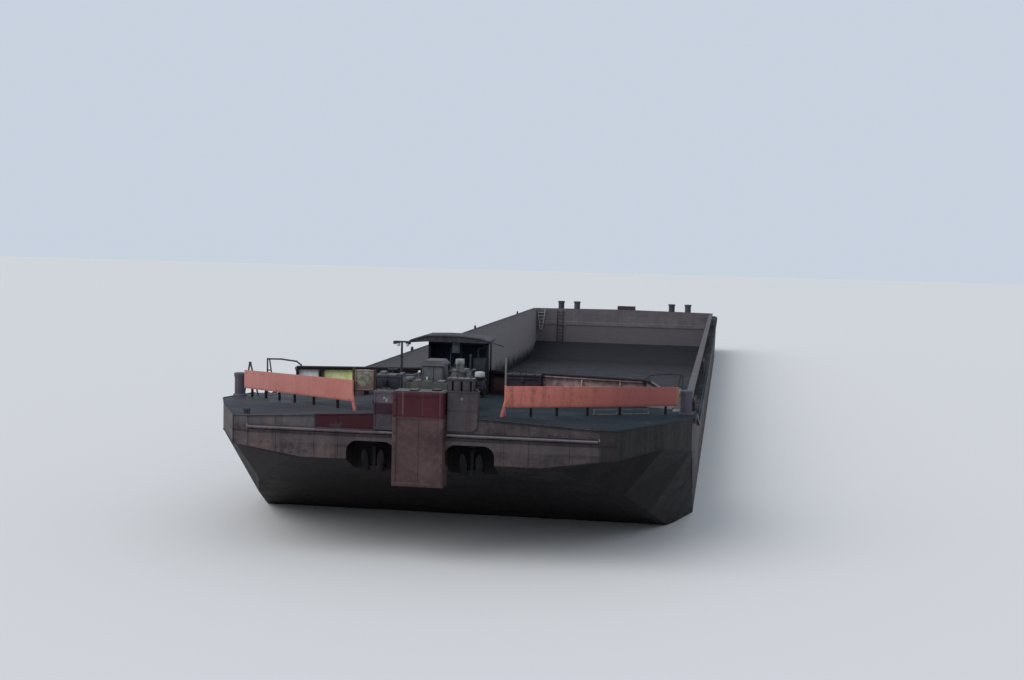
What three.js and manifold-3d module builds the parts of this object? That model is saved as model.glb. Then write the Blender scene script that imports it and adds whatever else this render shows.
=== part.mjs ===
// Open-hold river cargo barge, scale model one to ten, in millimetres.
// Bow towards -Y, port side towards +X, and the flat bottom stands at z 0.
// Lengths along the hull are given from the bow plate and moved to the middle by the last group.

import * as THREE from 'three';
import { mergeVertices } from 'three/addons/utils/BufferGeometryUtils.js';
import Module from 'manifold-3d';

const wasm = await Module();
wasm.setup();

// Driving dimensions of the hull
const LENGTH = 8500;
const HALF_BEAM = 800;
const FRONT_HALF = 540;
const INNER_BOTTOM = 45;
const SIDE_DECK_Z = 395;
const COAMING_TOP = 454;
const HOLD_HALF = 747;
const HOLD_FORE_HALF = 615;
const HOLD_FORE_Y = 800;
const HOLD_WIDE_Y = 1300;
const HOLD_AFT_Y = 8000;
const SLOPE_FORE = { y: 1080, z: 200 };
const SLOPE_AFT = { y: 7620, z: 170 };
const GAP = 0.3;

// Fore coaming: height at its ends and at the middle of its peaked top
const FORE_TOP_END = 592;
const FORE_TOP_MID = 607;
const PLATE = 10;

// Colours
const HULL_BROWN = 0x4a4042;
const RUST_RED = 0x5c3a38;
const BOARD_RED = 0xb5685c;
const MAROON = 0x54262c;
const STEEL_GREY = 0x57585c;
const DARK_STEEL = 0x2c2d33;
const WALL_GREY = 0x58535a;
const PALE_GREY = 0x9a9ea0;

// Hull sections. Half widths and heights of the bottom, of the foot of the upright side,
// and of the deck at its edge and at its peaked middle.
const SECTIONS = [
  { y: 0, bottomZ: 400, bottomHalf: 370, footZ: 426, half: FRONT_HALF, edgeZ: 520, midZ: 548 },
  { y: 15, bottomZ: 393, bottomHalf: 400, footZ: 429, half: 592, edgeZ: 518, midZ: 548 },
  { y: 280, bottomZ: 280, bottomHalf: 600, footZ: 434, half: 718, edgeZ: 512, midZ: 542 },
  { y: 490, bottomZ: 188, bottomHalf: 670, footZ: 400, half: HALF_BEAM, edgeZ: 507, midZ: 538 },
  { y: 800, bottomZ: 75, bottomHalf: 735, footZ: 220, half: HALF_BEAM, edgeZ: 491, midZ: 531 },
  { y: 1050, bottomZ: 0, bottomHalf: 758, footZ: 60, half: HALF_BEAM, edgeZ: 444, midZ: 480 },
  { y: 1300, bottomZ: 0, bottomHalf: 760, footZ: 40, half: HALF_BEAM, edgeZ: SIDE_DECK_Z, midZ: 410 },
  { y: 7600, bottomZ: 0, bottomHalf: 760, footZ: 40, half: HALF_BEAM, edgeZ: SIDE_DECK_Z, midZ: 410 },
  { y: 8000, bottomZ: 107, bottomHalf: 755, footZ: 170, half: HALF_BEAM, edgeZ: SIDE_DECK_Z, midZ: 410 },
  { y: 8420, bottomZ: 230, bottomHalf: 750, footZ: 270, half: HALF_BEAM, edgeZ: 405, midZ: 424 },
  { y: LENGTH, bottomZ: 255, bottomHalf: 700, footZ: 290, half: 740, edgeZ: 407, midZ: 426 },
];

// Solids made from plain shapes

function solidOf(geometry) {
  const plain = geometry.index ? geometry.toNonIndexed() : geometry.clone();
  for (const name of Object.keys(plain.attributes)) {
    if (name !== 'position') plain.deleteAttribute(name);
  }
  const merged = mergeVertices(plain, 1e-3);
  return new wasm.Manifold(new wasm.Mesh({
    numProp: 3,
    vertProperties: new Float32Array(merged.attributes.position.array),
    triVerts: new Uint32Array(merged.index.array),
  }));
}

function box(x0, x1, y0, y1, z0, z1) {
  const geometry = new THREE.BoxGeometry(x1 - x0, y1 - y0, z1 - z0);
  geometry.translate((x0 + x1) / 2, (y0 + y1) / 2, (z0 + z1) / 2);
  return solidOf(geometry);
}

// A rod or disc between two points
function rod(from, to, radius, sides = 12, endRadius = radius) {
  const a = new THREE.Vector3(...from);
  const b = new THREE.Vector3(...to);
  const geometry = new THREE.CylinderGeometry(endRadius, radius, a.distanceTo(b), sides);
  const up = new THREE.Vector3(0, 1, 0);
  const turn = new THREE.Quaternion().setFromUnitVectors(up, b.clone().sub(a).normalize());
  geometry.applyQuaternion(turn);
  geometry.translate((a.x + b.x) / 2, (a.y + b.y) / 2, (a.z + b.z) / 2);
  return solidOf(geometry);
}

// An outline in the XY plan, from one height to another
function planPrism(points, z0, z1) {
  const shape = new THREE.Shape(points.map(([x, y]) => new THREE.Vector2(x, y)));
  const geometry = new THREE.ExtrudeGeometry(shape, { depth: z1 - z0, bevelEnabled: false });
  geometry.translate(0, 0, z0);
  return solidOf(geometry);
}

// An outline in the YZ side view, from one x to another
function sidePrism(points, x0, x1) {
  const shape = new THREE.Shape(points.map(([y, z]) => new THREE.Vector2(y, z)));
  const geometry = new THREE.ExtrudeGeometry(shape, { depth: x1 - x0, bevelEnabled: false });
  geometry.rotateX(Math.PI / 2);
  geometry.rotateZ(Math.PI / 2);
  geometry.translate(x0, 0, 0);
  return solidOf(geometry);
}

// An outline in the XZ front view, from one y to another
function frontPrism(points, y0, y1) {
  const shape = new THREE.Shape(points.map(([x, z]) => new THREE.Vector2(x, z)));
  const geometry = new THREE.ExtrudeGeometry(shape, { depth: y1 - y0, bevelEnabled: false });
  geometry.rotateX(Math.PI / 2);
  geometry.translate(0, y1, 0);
  return solidOf(geometry);
}

function join(...solids) {
  return solids.reduce((sum, next) => sum.add(next));
}

// Hull block lofted through the sections, without its hold. Both sides are mirror images.
function loftHull() {
  const ring = (s) => [
    [0, s.bottomZ], [s.bottomHalf, s.bottomZ], [s.half, s.footZ], [s.half, s.edgeZ],
    [0, s.midZ], [-s.half, s.edgeZ], [-s.half, s.footZ], [-s.bottomHalf, s.bottomZ],
  ];
  const count = 8;
  const vertices = SECTIONS.flatMap((s) => ring(s).flatMap(([x, z]) => [x, s.y, z]));
  const faces = [];
  for (let k = 0; k < SECTIONS.length - 1; k += 1) {
    for (let i = 0; i < count; i += 1) {
      const a = k * count + i;
      const b = k * count + (i + 1) % count;
      if (i < count / 2) faces.push(a, b + count, b, a, a + count, b + count);
      else faces.push(a, a + count, b, b, a + count, b + count);
    }
  }
  const aft = (SECTIONS.length - 1) * count;
  for (let i = 1; i < count - 1; i += 1) {
    faces.push(0, i, i + 1, aft, aft + i + 1, aft + i);
  }
  const geometry = new THREE.BufferGeometry();
  geometry.setAttribute('position', new THREE.Float32BufferAttribute(vertices, 3));
  geometry.setIndex(faces);
  return solidOf(geometry);
}

const hullBlock = loftHull();
const aboveDeck = hullBlock.translate([0, 0, GAP]);
const hullSkin = join(aboveDeck, hullBlock.translate([0, -GAP, 0]), hullBlock.translate([0, GAP, -GAP]));

// Height of the deck at a place, from the same sections
function deckZ(x, y) {
  const aftIndex = SECTIONS.findIndex((s) => s.y >= y);
  const k = Math.max(1, aftIndex);
  const fore = SECTIONS[k - 1];
  const aft = SECTIONS[k];
  const t = (y - fore.y) / (aft.y - fore.y);
  const half = fore.half + (aft.half - fore.half) * t;
  const edge = fore.edgeZ + (aft.edgeZ - fore.edgeZ) * t;
  const mid = fore.midZ + (aft.midZ - fore.midZ) * t;
  return mid + (edge - mid) * Math.abs(x) / half;
}

const barge = new THREE.Group();
const ship = new THREE.Group();
ship.position.y = -LENGTH / 2;
barge.add(ship);

function addPart(name, solid, color, roughness = 0.8, metalness = 0.1, parent = ship) {
  const mesh = solid.getMesh();
  const geometry = new THREE.BufferGeometry();
  geometry.setAttribute('position', new THREE.Float32BufferAttribute(mesh.vertProperties, 3));
  geometry.setIndex(new THREE.Uint32BufferAttribute(mesh.triVerts, 1));
  geometry.computeVertexNormals();
  const material = new THREE.MeshStandardMaterial({ color, roughness, metalness });
  const part = new THREE.Mesh(geometry, material);
  part.name = name;
  parent.add(part);
  return part;
}

// The two sides of the ship, with the sign of x
const SIDES = [
  { side: 'port', sign: 1 },
  { side: 'starboard', sign: -1 },
];

// Hull shell with its rubbing strakes: along both sides under the deck edge, and across the bow plate

const BLOCK_HALF = 78;
const STRAKE_OUT = 10;
const STRAKE_DEEP = 16;
const STRAKE_LINE = [[525, 501], [800, 486], [1050, 440], [1300, 391], [HOLD_AFT_Y, 391], [8420, 401]];

function strakes(sign) {
  const lower = STRAKE_LINE.map(([y, z]) => [y, z - STRAKE_DEEP]).reverse();
  const along = sidePrism([...STRAKE_LINE, ...lower], HALF_BEAM - 2, HALF_BEAM + STRAKE_OUT);
  const across = sidePrism([[2, 476], [2, 494], [-8, 490], [-8, 482]], BLOCK_HALF + 4, FRONT_HALF - 2);
  const both = join(along, across);
  return sign > 0 ? both : both.mirror([1, 0, 0]);
}

const shell = join(hullBlock, ...SIDES.map(({ sign }) => strakes(sign)));

// The shell is built as blocks that meet face to face: bow plate with the anchor recesses, forepeak,
// double bottom, sloped ends of the hold, wing tanks and afterpeak

const NICHE_IN = 77;
const NICHE_OUT = 228;
const NICHE_TOP = 457;
const NICHE_DEPTH = 100;
const NICHE_ROUND = 34;
const FAR = 900;

function slice(solid, y0, y1) {
  return solid.intersect(box(-FAR, FAR, y0, y1, -10, FAR));
}

function holdOutline(extra = 0) {
  const half = HOLD_HALF + extra;
  const foreHalf = HOLD_FORE_HALF + extra;
  const foreY = HOLD_FORE_Y - extra;
  const aftY = HOLD_AFT_Y + extra;
  return [
    [-foreHalf, foreY], [foreHalf, foreY], [half, HOLD_WIDE_Y], [half, aftY],
    [-half, aftY], [-half, HOLD_WIDE_Y],
  ];
}

function nicheSpace(sign) {
  const arc = new THREE.Shape();
  arc.moveTo(NICHE_IN, 200);
  arc.lineTo(NICHE_OUT, 200);
  arc.lineTo(NICHE_OUT, NICHE_TOP - NICHE_ROUND);
  arc.absarc(NICHE_OUT - NICHE_ROUND, NICHE_TOP - NICHE_ROUND, NICHE_ROUND, 0, Math.PI / 2, false);
  arc.absarc(NICHE_IN + NICHE_ROUND, NICHE_TOP - NICHE_ROUND, NICHE_ROUND, Math.PI / 2, Math.PI, false);
  const space = frontPrism(arc.getPoints(6).map((p) => [p.x, p.y]), -10, NICHE_DEPTH + 10);
  return sign > 0 ? space : space.mirror([1, 0, 0]);
}

const bowPlate = slice(shell, -FAR, NICHE_DEPTH - GAP).subtract(nicheSpace(1)).subtract(nicheSpace(-1));
addPart('hull_bow_plate', bowPlate, HULL_BROWN, 0.85, 0.2);
addPart('hull_forepeak', slice(shell, NICHE_DEPTH, HOLD_FORE_Y), HULL_BROWN, 0.85, 0.2);

const stringer = box(-HOLD_HALF + 1, HOLD_HALF - 1, HOLD_AFT_Y - 5, HOLD_AFT_Y + 1, 318, 330);
const afterpeak = slice(shell, HOLD_AFT_Y, LENGTH + 1).add(stringer);
addPart('hull_afterpeak', afterpeak, HULL_BROWN, 0.85, 0.2);

const underHold = planPrism(holdOutline(-GAP), -10, INNER_BOTTOM).intersect(hullBlock);
addPart('double_bottom', underHold, HULL_BROWN, 0.85, 0.2);

const aboveBottom = planPrism(holdOutline(-GAP), INNER_BOTTOM + GAP, FAR).intersect(hullBlock);
const SLOPES = [
  { name: 'hold_slope_fore', endY: HOLD_FORE_Y, top: SLOPE_FORE.z, footY: SLOPE_FORE.y },
  { name: 'hold_slope_aft', endY: HOLD_AFT_Y, top: SLOPE_AFT.z, footY: SLOPE_AFT.y },
];
for (const { name, endY, top, footY } of SLOPES) {
  const outline = [[endY, 0], [footY, 0], [footY, INNER_BOTTOM], [endY, top]];
  if (endY > footY) outline.reverse();
  addPart(name, sidePrism(outline, -FAR, FAR).intersect(aboveBottom), WALL_GREY, 0.85, 0.2);
}

const holdCut = planPrism(holdOutline(), -10, FAR);
const STRETCHES = [
  { stretch: 'fore_', y0: HOLD_FORE_Y + GAP, y1: HOLD_WIDE_Y, holdHalf: HOLD_FORE_HALF },
  { stretch: '', y0: HOLD_WIDE_Y + GAP, y1: HOLD_AFT_Y - GAP, holdHalf: HOLD_HALF },
];
for (const { side, sign } of SIDES) {
  const half = sign > 0 ? box(0, FAR, 0, LENGTH, -10, FAR) : box(-FAR, 0, 0, LENGTH, -10, FAR);
  for (const { stretch, y0, y1 } of STRETCHES) {
    const tank = slice(shell, y0, y1).subtract(holdCut).intersect(half);
    addPart(`wing_tank_${stretch}${side}`, tank, HULL_BROWN, 0.85, 0.2);
  }
}

// Skegs under the stern

const SKEG_X = 450;
for (const { side, sign } of SIDES) {
  const skeg = sidePrism([[7640, 0], [8380, 0], [8420, 40], [8420, 260], [7640, 40]], -6, 6)
    .translate([sign * SKEG_X, 0, 0])
    .subtract(hullBlock.translate([0, 0, -GAP]));
  addPart(`skeg_${side}`, skeg, HULL_BROWN, 0.85, 0.2);
}

// Hatch rims: frames standing on the deck, with two ears for the lid's hinge pin

const HATCH_SIZE = 70;
const HATCH_RISE = 34;
const LID_SIZE = 80;
const LID_THICK = 6;
const HATCHES = [
  { hatch: 'bow_hatch', side: '_port', x: 370, y: 640 },
  { hatch: 'bow_hatch', side: '_starboard', x: -370, y: 640 },
  { hatch: 'stern_hatch', side: '', x: 0, y: 8290 },
];

for (const { hatch, side, x, y } of HATCHES) {
  const top = deckZ(x, y) + HATCH_RISE;
  const h = HATCH_SIZE / 2;
  const wall = 5;
  const frame = box(x - h, x + h, y - h, y + h, top - 70, top)
    .subtract(box(x - h + wall, x + h - wall, y - h + wall, y + h - wall, top - 80, top + 1));
  const ears = [-1, 1].map((s) => box(
    x + s * 20 - 3, x + s * 20 + 3, y + h - 1, y + h + 9, top - 24, top,
  ));
  addPart(`${hatch}_rim${side}`, join(frame, ...ears).subtract(aboveDeck), STEEL_GREY, 0.8, 0.2);
}

// Hatch lids, each on a hinge pin behind its rim

const HINGE_BACK = 6;
for (const { hatch, side, x, y } of HATCHES) {
  const top = deckZ(x, y) + HATCH_RISE;
  const h = LID_SIZE / 2;
  const pinY = y + HATCH_SIZE / 2 + HINGE_BACK;
  const lid = box(x - h, x + h, y - h, pinY - 4, top + GAP, top + LID_THICK);
  const handle = rod([x - 12, y - 24, top + 12], [x + 12, y - 24, top + 12], 2, 8);
  const feet = [-12, 12].map((dx) => rod([x + dx, y - 24, top + 4], [x + dx, y - 24, top + 13], 2, 8));
  const knuckle = join(
    box(x - 14, x + 14, pinY - 5, pinY + 3, top + 1, top + LID_THICK),
    rod([x - 14, pinY, top + 3], [x + 14, pinY, top + 3], 3.5, 10),
  );
  addPart(`${hatch}_lid${side}`, join(lid, handle, ...feet, knuckle), STEEL_GREY, 0.7, 0.3);
}

// Coupling block at the bow and at the stern

const BLOCK_OUT = 30;
const bowBlock = join(
  box(-BLOCK_HALF, BLOCK_HALF, -BLOCK_OUT, 40, 330, 541),
  box(-BLOCK_HALF, BLOCK_HALF, -BLOCK_OUT, 46, 541, 615),
).subtract(hullSkin);
addPart('bow_coupling_block', bowBlock, MAROON, 0.75, 0.1);

const sternBlock = join(
  box(-BLOCK_HALF, BLOCK_HALF, LENGTH + GAP, LENGTH + BLOCK_OUT, 230, 470),
  box(-BLOCK_HALF, BLOCK_HALF, LENGTH - 60, LENGTH + BLOCK_OUT, 415, 470),
).subtract(aboveDeck).subtract(hullBlock.translate([0, GAP, 0]));
addPart('stern_coupling_block', sternBlock, MAROON, 0.75, 0.1);

// Fairlead chest on the starboard side of the bow block, and the guide housing on its port side

const chest = box(-142, -BLOCK_HALF - GAP * 2, -8, 38, 495, 610).subtract(hullSkin);
addPart('bow_chest_starboard', chest, STEEL_GREY, 0.8, 0.2);

const guideOutline = new THREE.Shape();
guideOutline.moveTo(84, 500);
guideOutline.lineTo(153, 500);
guideOutline.absarc(153, 522, 22, -Math.PI / 2, 0, false);
guideOutline.lineTo(175, 619);
guideOutline.lineTo(161, 622);
guideOutline.lineTo(161, 657);
guideOutline.lineTo(84, 657);
const guidePoints = guideOutline.getPoints(5).map((p) => [p.x, p.y]);
const guideSlots = [99, 126, 154].map((x) => box(x - 3, x + 3, -20, 24, 621, 650));
const guide = guideSlots
  .reduce((solid, slot) => solid.subtract(slot), frontPrism(guidePoints, -6, 30))
  .subtract(hullSkin);
addPart('bow_guide_port', guide, STEEL_GREY, 0.8, 0.2);

// Anchors stowed in the bow recesses

for (const { side, sign } of SIDES) {
  const x = sign * (NICHE_IN + NICHE_OUT) / 2;
  const shank = rod([x, 52, 366], [x, 52, 450], 6, 10);
  const hanger = rod([x, 52, 446], [x, 52, NICHE_TOP - GAP], 11, 12);
  const crown = box(x - 34, x + 34, 42, 62, 358, 376);
  const flukes = [-22, 22].map((dx) => planPrism(
    [[x + dx - 9, 20], [x + dx + 9, 20], [x + dx + 4, 44], [x + dx - 4, 44]], 362, 416,
  ));
  const anchor = join(shank, hanger, crown, ...flukes).subtract(hullSkin.intersect(box(-900, 900, NICHE_DEPTH - 1, 900, 0, 700)));
  addPart(`anchor_${side}`, anchor, DARK_STEEL, 0.7, 0.5);
}

// Name boards in a V across the bow deck, on struts, with an inclined leg at the inner end
// and a thin pole at the port one

const BOARD_IN = { x: 240, y: 115, low: 562, high: 628 };
const BOARD_OUT = { x: 749, y: 561, low: 536, high: 599 };
const BOARD_THICK = 5;
const STRUT_BEHIND = 3.5;
const BOARD_STRUTS = { port: [313, 386, 475, 572, 713], starboard: [312, 418, 507, 581, 648, 718] };

function boardSolid(strutsX) {
  const along = new THREE.Vector2(BOARD_OUT.x - BOARD_IN.x, BOARD_OUT.y - BOARD_IN.y);
  const length = along.length();
  const face = sidePrism([
    [0, BOARD_IN.low], [length, BOARD_OUT.low], [length, BOARD_OUT.high], [0, BOARD_IN.high],
  ], -BOARD_THICK / 2, BOARD_THICK / 2);
  const degrees = -THREE.MathUtils.radToDeg(Math.atan2(along.x, along.y));
  const plate = face.rotate([0, 0, degrees]).translate([BOARD_IN.x, BOARD_IN.y, 0]);
  const struts = strutsX.map((x) => {
    const t = (x - BOARD_IN.x) / along.x;
    const y = BOARD_IN.y + t * along.y + STRUT_BEHIND;
    const low = BOARD_IN.low + t * (BOARD_OUT.low - BOARD_IN.low);
    return rod([x - STRUT_BEHIND, y, low + 34], [x - STRUT_BEHIND, y + 4, deckZ(x, y) - 8], 4.5, 6);
  });
  const leg = rod([BOARD_IN.x + 4, BOARD_IN.y + 2, 590], [BOARD_IN.x - 13, BOARD_IN.y - 13, 520], 6, 8);
  return join(plate, ...struts, leg).subtract(aboveDeck);
}

const portBoard = boardSolid(BOARD_STRUTS.port);
const starboardBoard = boardSolid(BOARD_STRUTS.starboard).mirror([1, 0, 0]);
const pole = rod([BOARD_IN.x - 1, BOARD_IN.y + 2, 500], [BOARD_IN.x - 1, BOARD_IN.y + 2, 715], 3, 8);
addPart('name_board_port', join(portBoard, pole).subtract(aboveDeck), BOARD_RED, 0.6, 0.1);
addPart('name_board_starboard', starboardBoard, BOARD_RED, 0.6, 0.1);

// Deck stand by the starboard board's inner end

addPart('deck_stand_inner', join(
  box(-247, -239, 130, 138, 500, 668), box(-178, -172, 131, 137, 500, 662),
  box(-243, -172, 132, 136, 594, 660),
).subtract(aboveDeck), RUST_RED, 0.8, 0.2);

// Single mooring bollards at the bow corners

for (const { side, sign } of SIDES) {
  const x = sign * 775;
  const y = 585;
  const bollard = join(
    rod([x, y, 470], [x, y, deckZ(x, y) + 6], 24, 18),
    rod([x, y, 480], [x, y, 578], 19, 18),
    rod([x, y, 572], [x, y, 584], 21, 18),
  ).subtract(aboveDeck);
  addPart(`bow_bollard_${side}`, bollard, DARK_STEEL, 0.6, 0.4);
}

// Bollard pairs on the aft deck

for (const { side, sign } of SIDES) {
  const centre = sign * 485;
  const y = 8200;
  const posts = [-70, 70].map((dx) => join(
    rod([centre + dx, y, 400], [centre + dx, y, 502], 26, 16),
    rod([centre + dx, y, 500], [centre + dx, y, 512], 30, 16),
  ));
  const base = box(centre - 120, centre + 120, y - 42, y + 42, 400, 430);
  addPart(`stern_bollards_${side}`, join(base, ...posts).subtract(aboveDeck), DARK_STEEL, 0.6, 0.4);
}

// Coaming round the hold: plates flush with the hold walls, a top flange and outside brackets

const ring = planPrism(holdOutline(PLATE), 300, 700).subtract(planPrism(holdOutline(), 250, 750));
const flangeRing = planPrism(holdOutline(24), 300, 700).subtract(planPrism(holdOutline(-4), 250, 750));

const sideTop = [[HOLD_FORE_Y - 30, FORE_TOP_END], [HOLD_FORE_Y, FORE_TOP_END],
  [HOLD_WIDE_Y, COAMING_TOP], [HOLD_AFT_Y + 30, COAMING_TOP]];
const FLANGE = 6;
function underLine(line, drop, floor) {
  const top = line.map(([a, z]) => [a, z - drop]).reverse();
  return [[line[0][0], floor], [line[line.length - 1][0], floor], ...top];
}

const sideBody = sidePrism(underLine(sideTop, 0, 300), -900, 900);
const sideBelowFlange = sidePrism(underLine(sideTop, FLANGE, 200), -901, 901);
const BRACKET_STEP = 300;
const coamingSkins = {};
for (const { side, sign } of SIDES) {
  const brackets = [];
  for (let y = HOLD_WIDE_Y + 100; y < HOLD_AFT_Y - 50; y += BRACKET_STEP) {
    const x = sign * (HOLD_HALF + PLATE);
    brackets.push(box(Math.min(x, x + sign * 13), Math.max(x, x + sign * 13), y - 2, y + 2, 380, COAMING_TOP - 2));
  }
  const plates = join(ring, ...brackets).intersect(sideBody);
  const flange = flangeRing.intersect(sideBody).subtract(sideBelowFlange);
  const coaming = plates.add(flange).subtract(aboveDeck);
  coamingSkins[side] = coaming.add(coaming.translate([0, 0, GAP]));
  for (const { stretch, y0, y1, holdHalf } of STRETCHES) {
    const a = sign * (holdHalf - 20);
    const b = sign * FAR;
    const beside = box(Math.min(a, b), Math.max(a, b), y0, y1, 0, FAR);
    const name = `coaming_${stretch ? 'ramp_' : ''}${side}`;
    addPart(name, coaming.intersect(beside), WALL_GREY, 0.85, 0.2);
  }
}

const foreTop = [[-HOLD_FORE_HALF - 15, FORE_TOP_END], [0, FORE_TOP_MID], [HOLD_FORE_HALF + 15, FORE_TOP_END]];
const STIFFENERS_X = [10, 141, 268, 404, 538];
const forePlate = frontPrism(underLine(foreTop, 0, 300), HOLD_FORE_Y - PLATE, HOLD_FORE_Y - GAP);
const foreFlange = frontPrism(
  [...underLine(foreTop, FLANGE, 0).slice(2), ...foreTop], HOLD_FORE_Y - PLATE - 16, HOLD_FORE_Y - GAP,
);
const stiffeners = STIFFENERS_X.flatMap((x) => [x, -x]).map((x) => box(
  x - 2.5, x + 2.5, HOLD_FORE_Y - PLATE - 14, HOLD_FORE_Y - PLATE + 1, 480, FORE_TOP_END - 2,
));
addPart('coaming_fore', join(forePlate, foreFlange, ...stiffeners).subtract(aboveDeck), RUST_RED, 0.85, 0.2);

const AFT_TOP_MID = 462;
const aftTop = [[-HOLD_HALF - 20, COAMING_TOP], [0, AFT_TOP_MID], [HOLD_HALF + 20, COAMING_TOP]];
const aftPlate = frontPrism(underLine(aftTop, 0, 300), HOLD_AFT_Y, HOLD_AFT_Y + PLATE);
const aftFlange = frontPrism(
  [...underLine(aftTop, FLANGE, 0).slice(2), ...aftTop], HOLD_AFT_Y, HOLD_AFT_Y + PLATE + 16,
);
addPart('coaming_aft', join(aftPlate, aftFlange).subtract(aboveDeck), WALL_GREY, 0.85, 0.2);

// Ladders down the hold walls, hooked over the aft coaming

function ladder(x, y, top, bottom, width, step) {
  const rails = [-1, 1].map((s) => box(x + s * width / 2 - 2.5, x + s * width / 2 + 2.5, y - 12, y - 6, bottom, top));
  const rungs = [];
  for (let z = bottom + step / 2; z < top - 6; z += step) {
    rungs.push(rod([x - width / 2, y - 9, z], [x + width / 2, y - 9, z], 2, 6));
  }
  const ties = [top - 20, (top + bottom) / 2, bottom + 20].flatMap((z) => [-1, 1].map((s) => box(
    x + s * width / 2 - 2.5, x + s * width / 2 + 2.5, y - 8, y - GAP, z - 3, z + 3,
  )));
  return join(...rails, ...rungs, ...ties);
}
addPart('hold_ladder_aft', ladder(-538, HOLD_AFT_Y, 446, 174, 50, 30), RUST_RED, 0.8, 0.2);

// Pilot ladder in the corner, narrowing downwards, with flat treads

const ROPE_Y = HOLD_AFT_Y - 10;
const ROPE_TOP = 446;
const ROPE_LOW = 270;
const ropeHalf = (z) => 8 + 27 * (z - ROPE_LOW) / (ROPE_TOP - ROPE_LOW);
const ROPE_X = -704;
const ropeSides = [-1, 1].map((s) => rod(
  [ROPE_X + s * ropeHalf(ROPE_TOP), ROPE_Y, ROPE_TOP], [ROPE_X + s * ropeHalf(ROPE_LOW), ROPE_Y, ROPE_LOW], 4, 8,
));
const ropeHooks = [-1, 1].map((s) => box(
  ROPE_X + s * 33 - 4, ROPE_X + s * 33 + 4, ROPE_Y - 3, HOLD_AFT_Y - GAP, 436, ROPE_TOP,
));
const treads = [278, 306, 334, 362, 390, 418].map((z) => box(
  ROPE_X - ropeHalf(z), ROPE_X + ropeHalf(z), ROPE_Y - 3.5, ROPE_Y + 4, z - 2.5, z + 2.5,
));
addPart('hold_ladder_corner', join(...ropeSides, ...ropeHooks, ...treads), PALE_GREY, 0.8, 0.2);

// Windlass: bed, turning shaft with its chain wheels and rope drums, and control cabinet

const SHAFT_Y = 225;
const SHAFT_Z = 606;
const BEARINGS_X = [-178, -118, 52, 112];
const bedBase = box(-190, 124, 190, 260, 520, 558);
const cheeks = BEARINGS_X.map((x) => box(x - 5, x + 5, SHAFT_Y - 20, SHAFT_Y + 20, 550, 622));
const shaftBore = rod([-260, SHAFT_Y, SHAFT_Z], [220, SHAFT_Y, SHAFT_Z], 9.6, 16);
const bed = join(bedBase, ...cheeks).subtract(shaftBore).subtract(aboveDeck);
addPart('windlass_bed', bed, DARK_STEEL, 0.7, 0.4);

const drum = (x0, x1, flange, core) => join(
  rod([x0, SHAFT_Y, SHAFT_Z], [x0 + 4, SHAFT_Y, SHAFT_Z], flange, 18),
  rod([x1 - 4, SHAFT_Y, SHAFT_Z], [x1, SHAFT_Y, SHAFT_Z], flange, 18),
  rod([x0 + 1, SHAFT_Y, SHAFT_Z], [x1 - 1, SHAFT_Y, SHAFT_Z], core, 18),
);
const shaft = join(
  rod([-218, SHAFT_Y, SHAFT_Z], [152, SHAFT_Y, SHAFT_Z], 9, 16),
  drum(-168, -130, 33, 22), drum(64, 102, 33, 22), drum(-218, -192, 24, 17), drum(126, 152, 24, 17),
);
addPart('windlass_shaft', shaft, DARK_STEEL, 0.5, 0.6);

const gearcase = join(
  frontPrism([[30, 500], [106, 500], [106, 612], [84, 655], [44, 655], [30, 612]], 266, 334),
  box(54, 76, 266, 292, 650, 690),
).subtract(aboveDeck);
addPart('windlass_gearcase', gearcase, STEEL_GREY, 0.7, 0.3);

const cabinet = join(
  box(-57, 13, 272, 344, 520, 670),
  frontPrism([[-62, 668], [17, 668], [17, 674], [6, 684], [-46, 684], [-62, 675]], 266, 350),
).subtract(aboveDeck);
addPart('windlass_cabinet', cabinet, STEEL_GREY, 0.7, 0.2);

// Shallow shelter against the fore coaming, open in front and on the port side

const SHELTER = { x0: -124, x1: 86, backX: 68, y0: 690, y1: 768, top: 712 };
const WALL = 5;
const SILL = 5;
const corner = (x, y) => box(x, x + WALL, y, y + WALL, 500, SHELTER.top);
const hangingBox = box(-41, -17, SHELTER.y0, SHELTER.y0 + 14, 673, SHELTER.top - 1);
addPart('shelter_walls', join(
  box(SHELTER.x0, SHELTER.x0 + WALL, SHELTER.y0, SHELTER.y1, 500, SHELTER.top),
  box(SHELTER.x0, SHELTER.backX, SHELTER.y1 - WALL, SHELTER.y1, 500, SHELTER.top),
  box(SHELTER.x0, SHELTER.x1, SHELTER.y0, SHELTER.y0 + WALL, SHELTER.top - SILL, SHELTER.top),
  box(SHELTER.x1 - WALL, SHELTER.x1, SHELTER.y0, SHELTER.y1, SHELTER.top - SILL, SHELTER.top),
  box(SHELTER.backX - 1, SHELTER.x1, SHELTER.y1 - WALL, SHELTER.y1, SHELTER.top - SILL, SHELTER.top),
  corner(SHELTER.x1 - WALL, SHELTER.y0), corner(-14, SHELTER.y0), hangingBox,
).subtract(aboveDeck), DARK_STEEL, 0.8, 0.2);

const ROOF_FRONT = 666;
const roof = join(
  frontPrism([[-188, 707], [-126, SHELTER.top + GAP], [88, SHELTER.top + GAP], [92, 722],
    [60, 730], [0, 736], [-66, 737], [-132, 735], [-190, 716]], ROOF_FRONT, 792),
  rod([86, ROOF_FRONT + 6, 719], [142, ROOF_FRONT + 6, 704], 2.5, 8),
);
addPart('shelter_roof', roof, RUST_RED, 0.85, 0.1);

const engine = join(
  box(30, 78, 702, 756, 500, 656), box(-70, 31, 702, 756, 500, 604),
).subtract(aboveDeck);
addPart('shelter_engine', engine, STEEL_GREY, 0.7, 0.3);

// Store locker against the fore coaming, with a hinged lid

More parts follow.
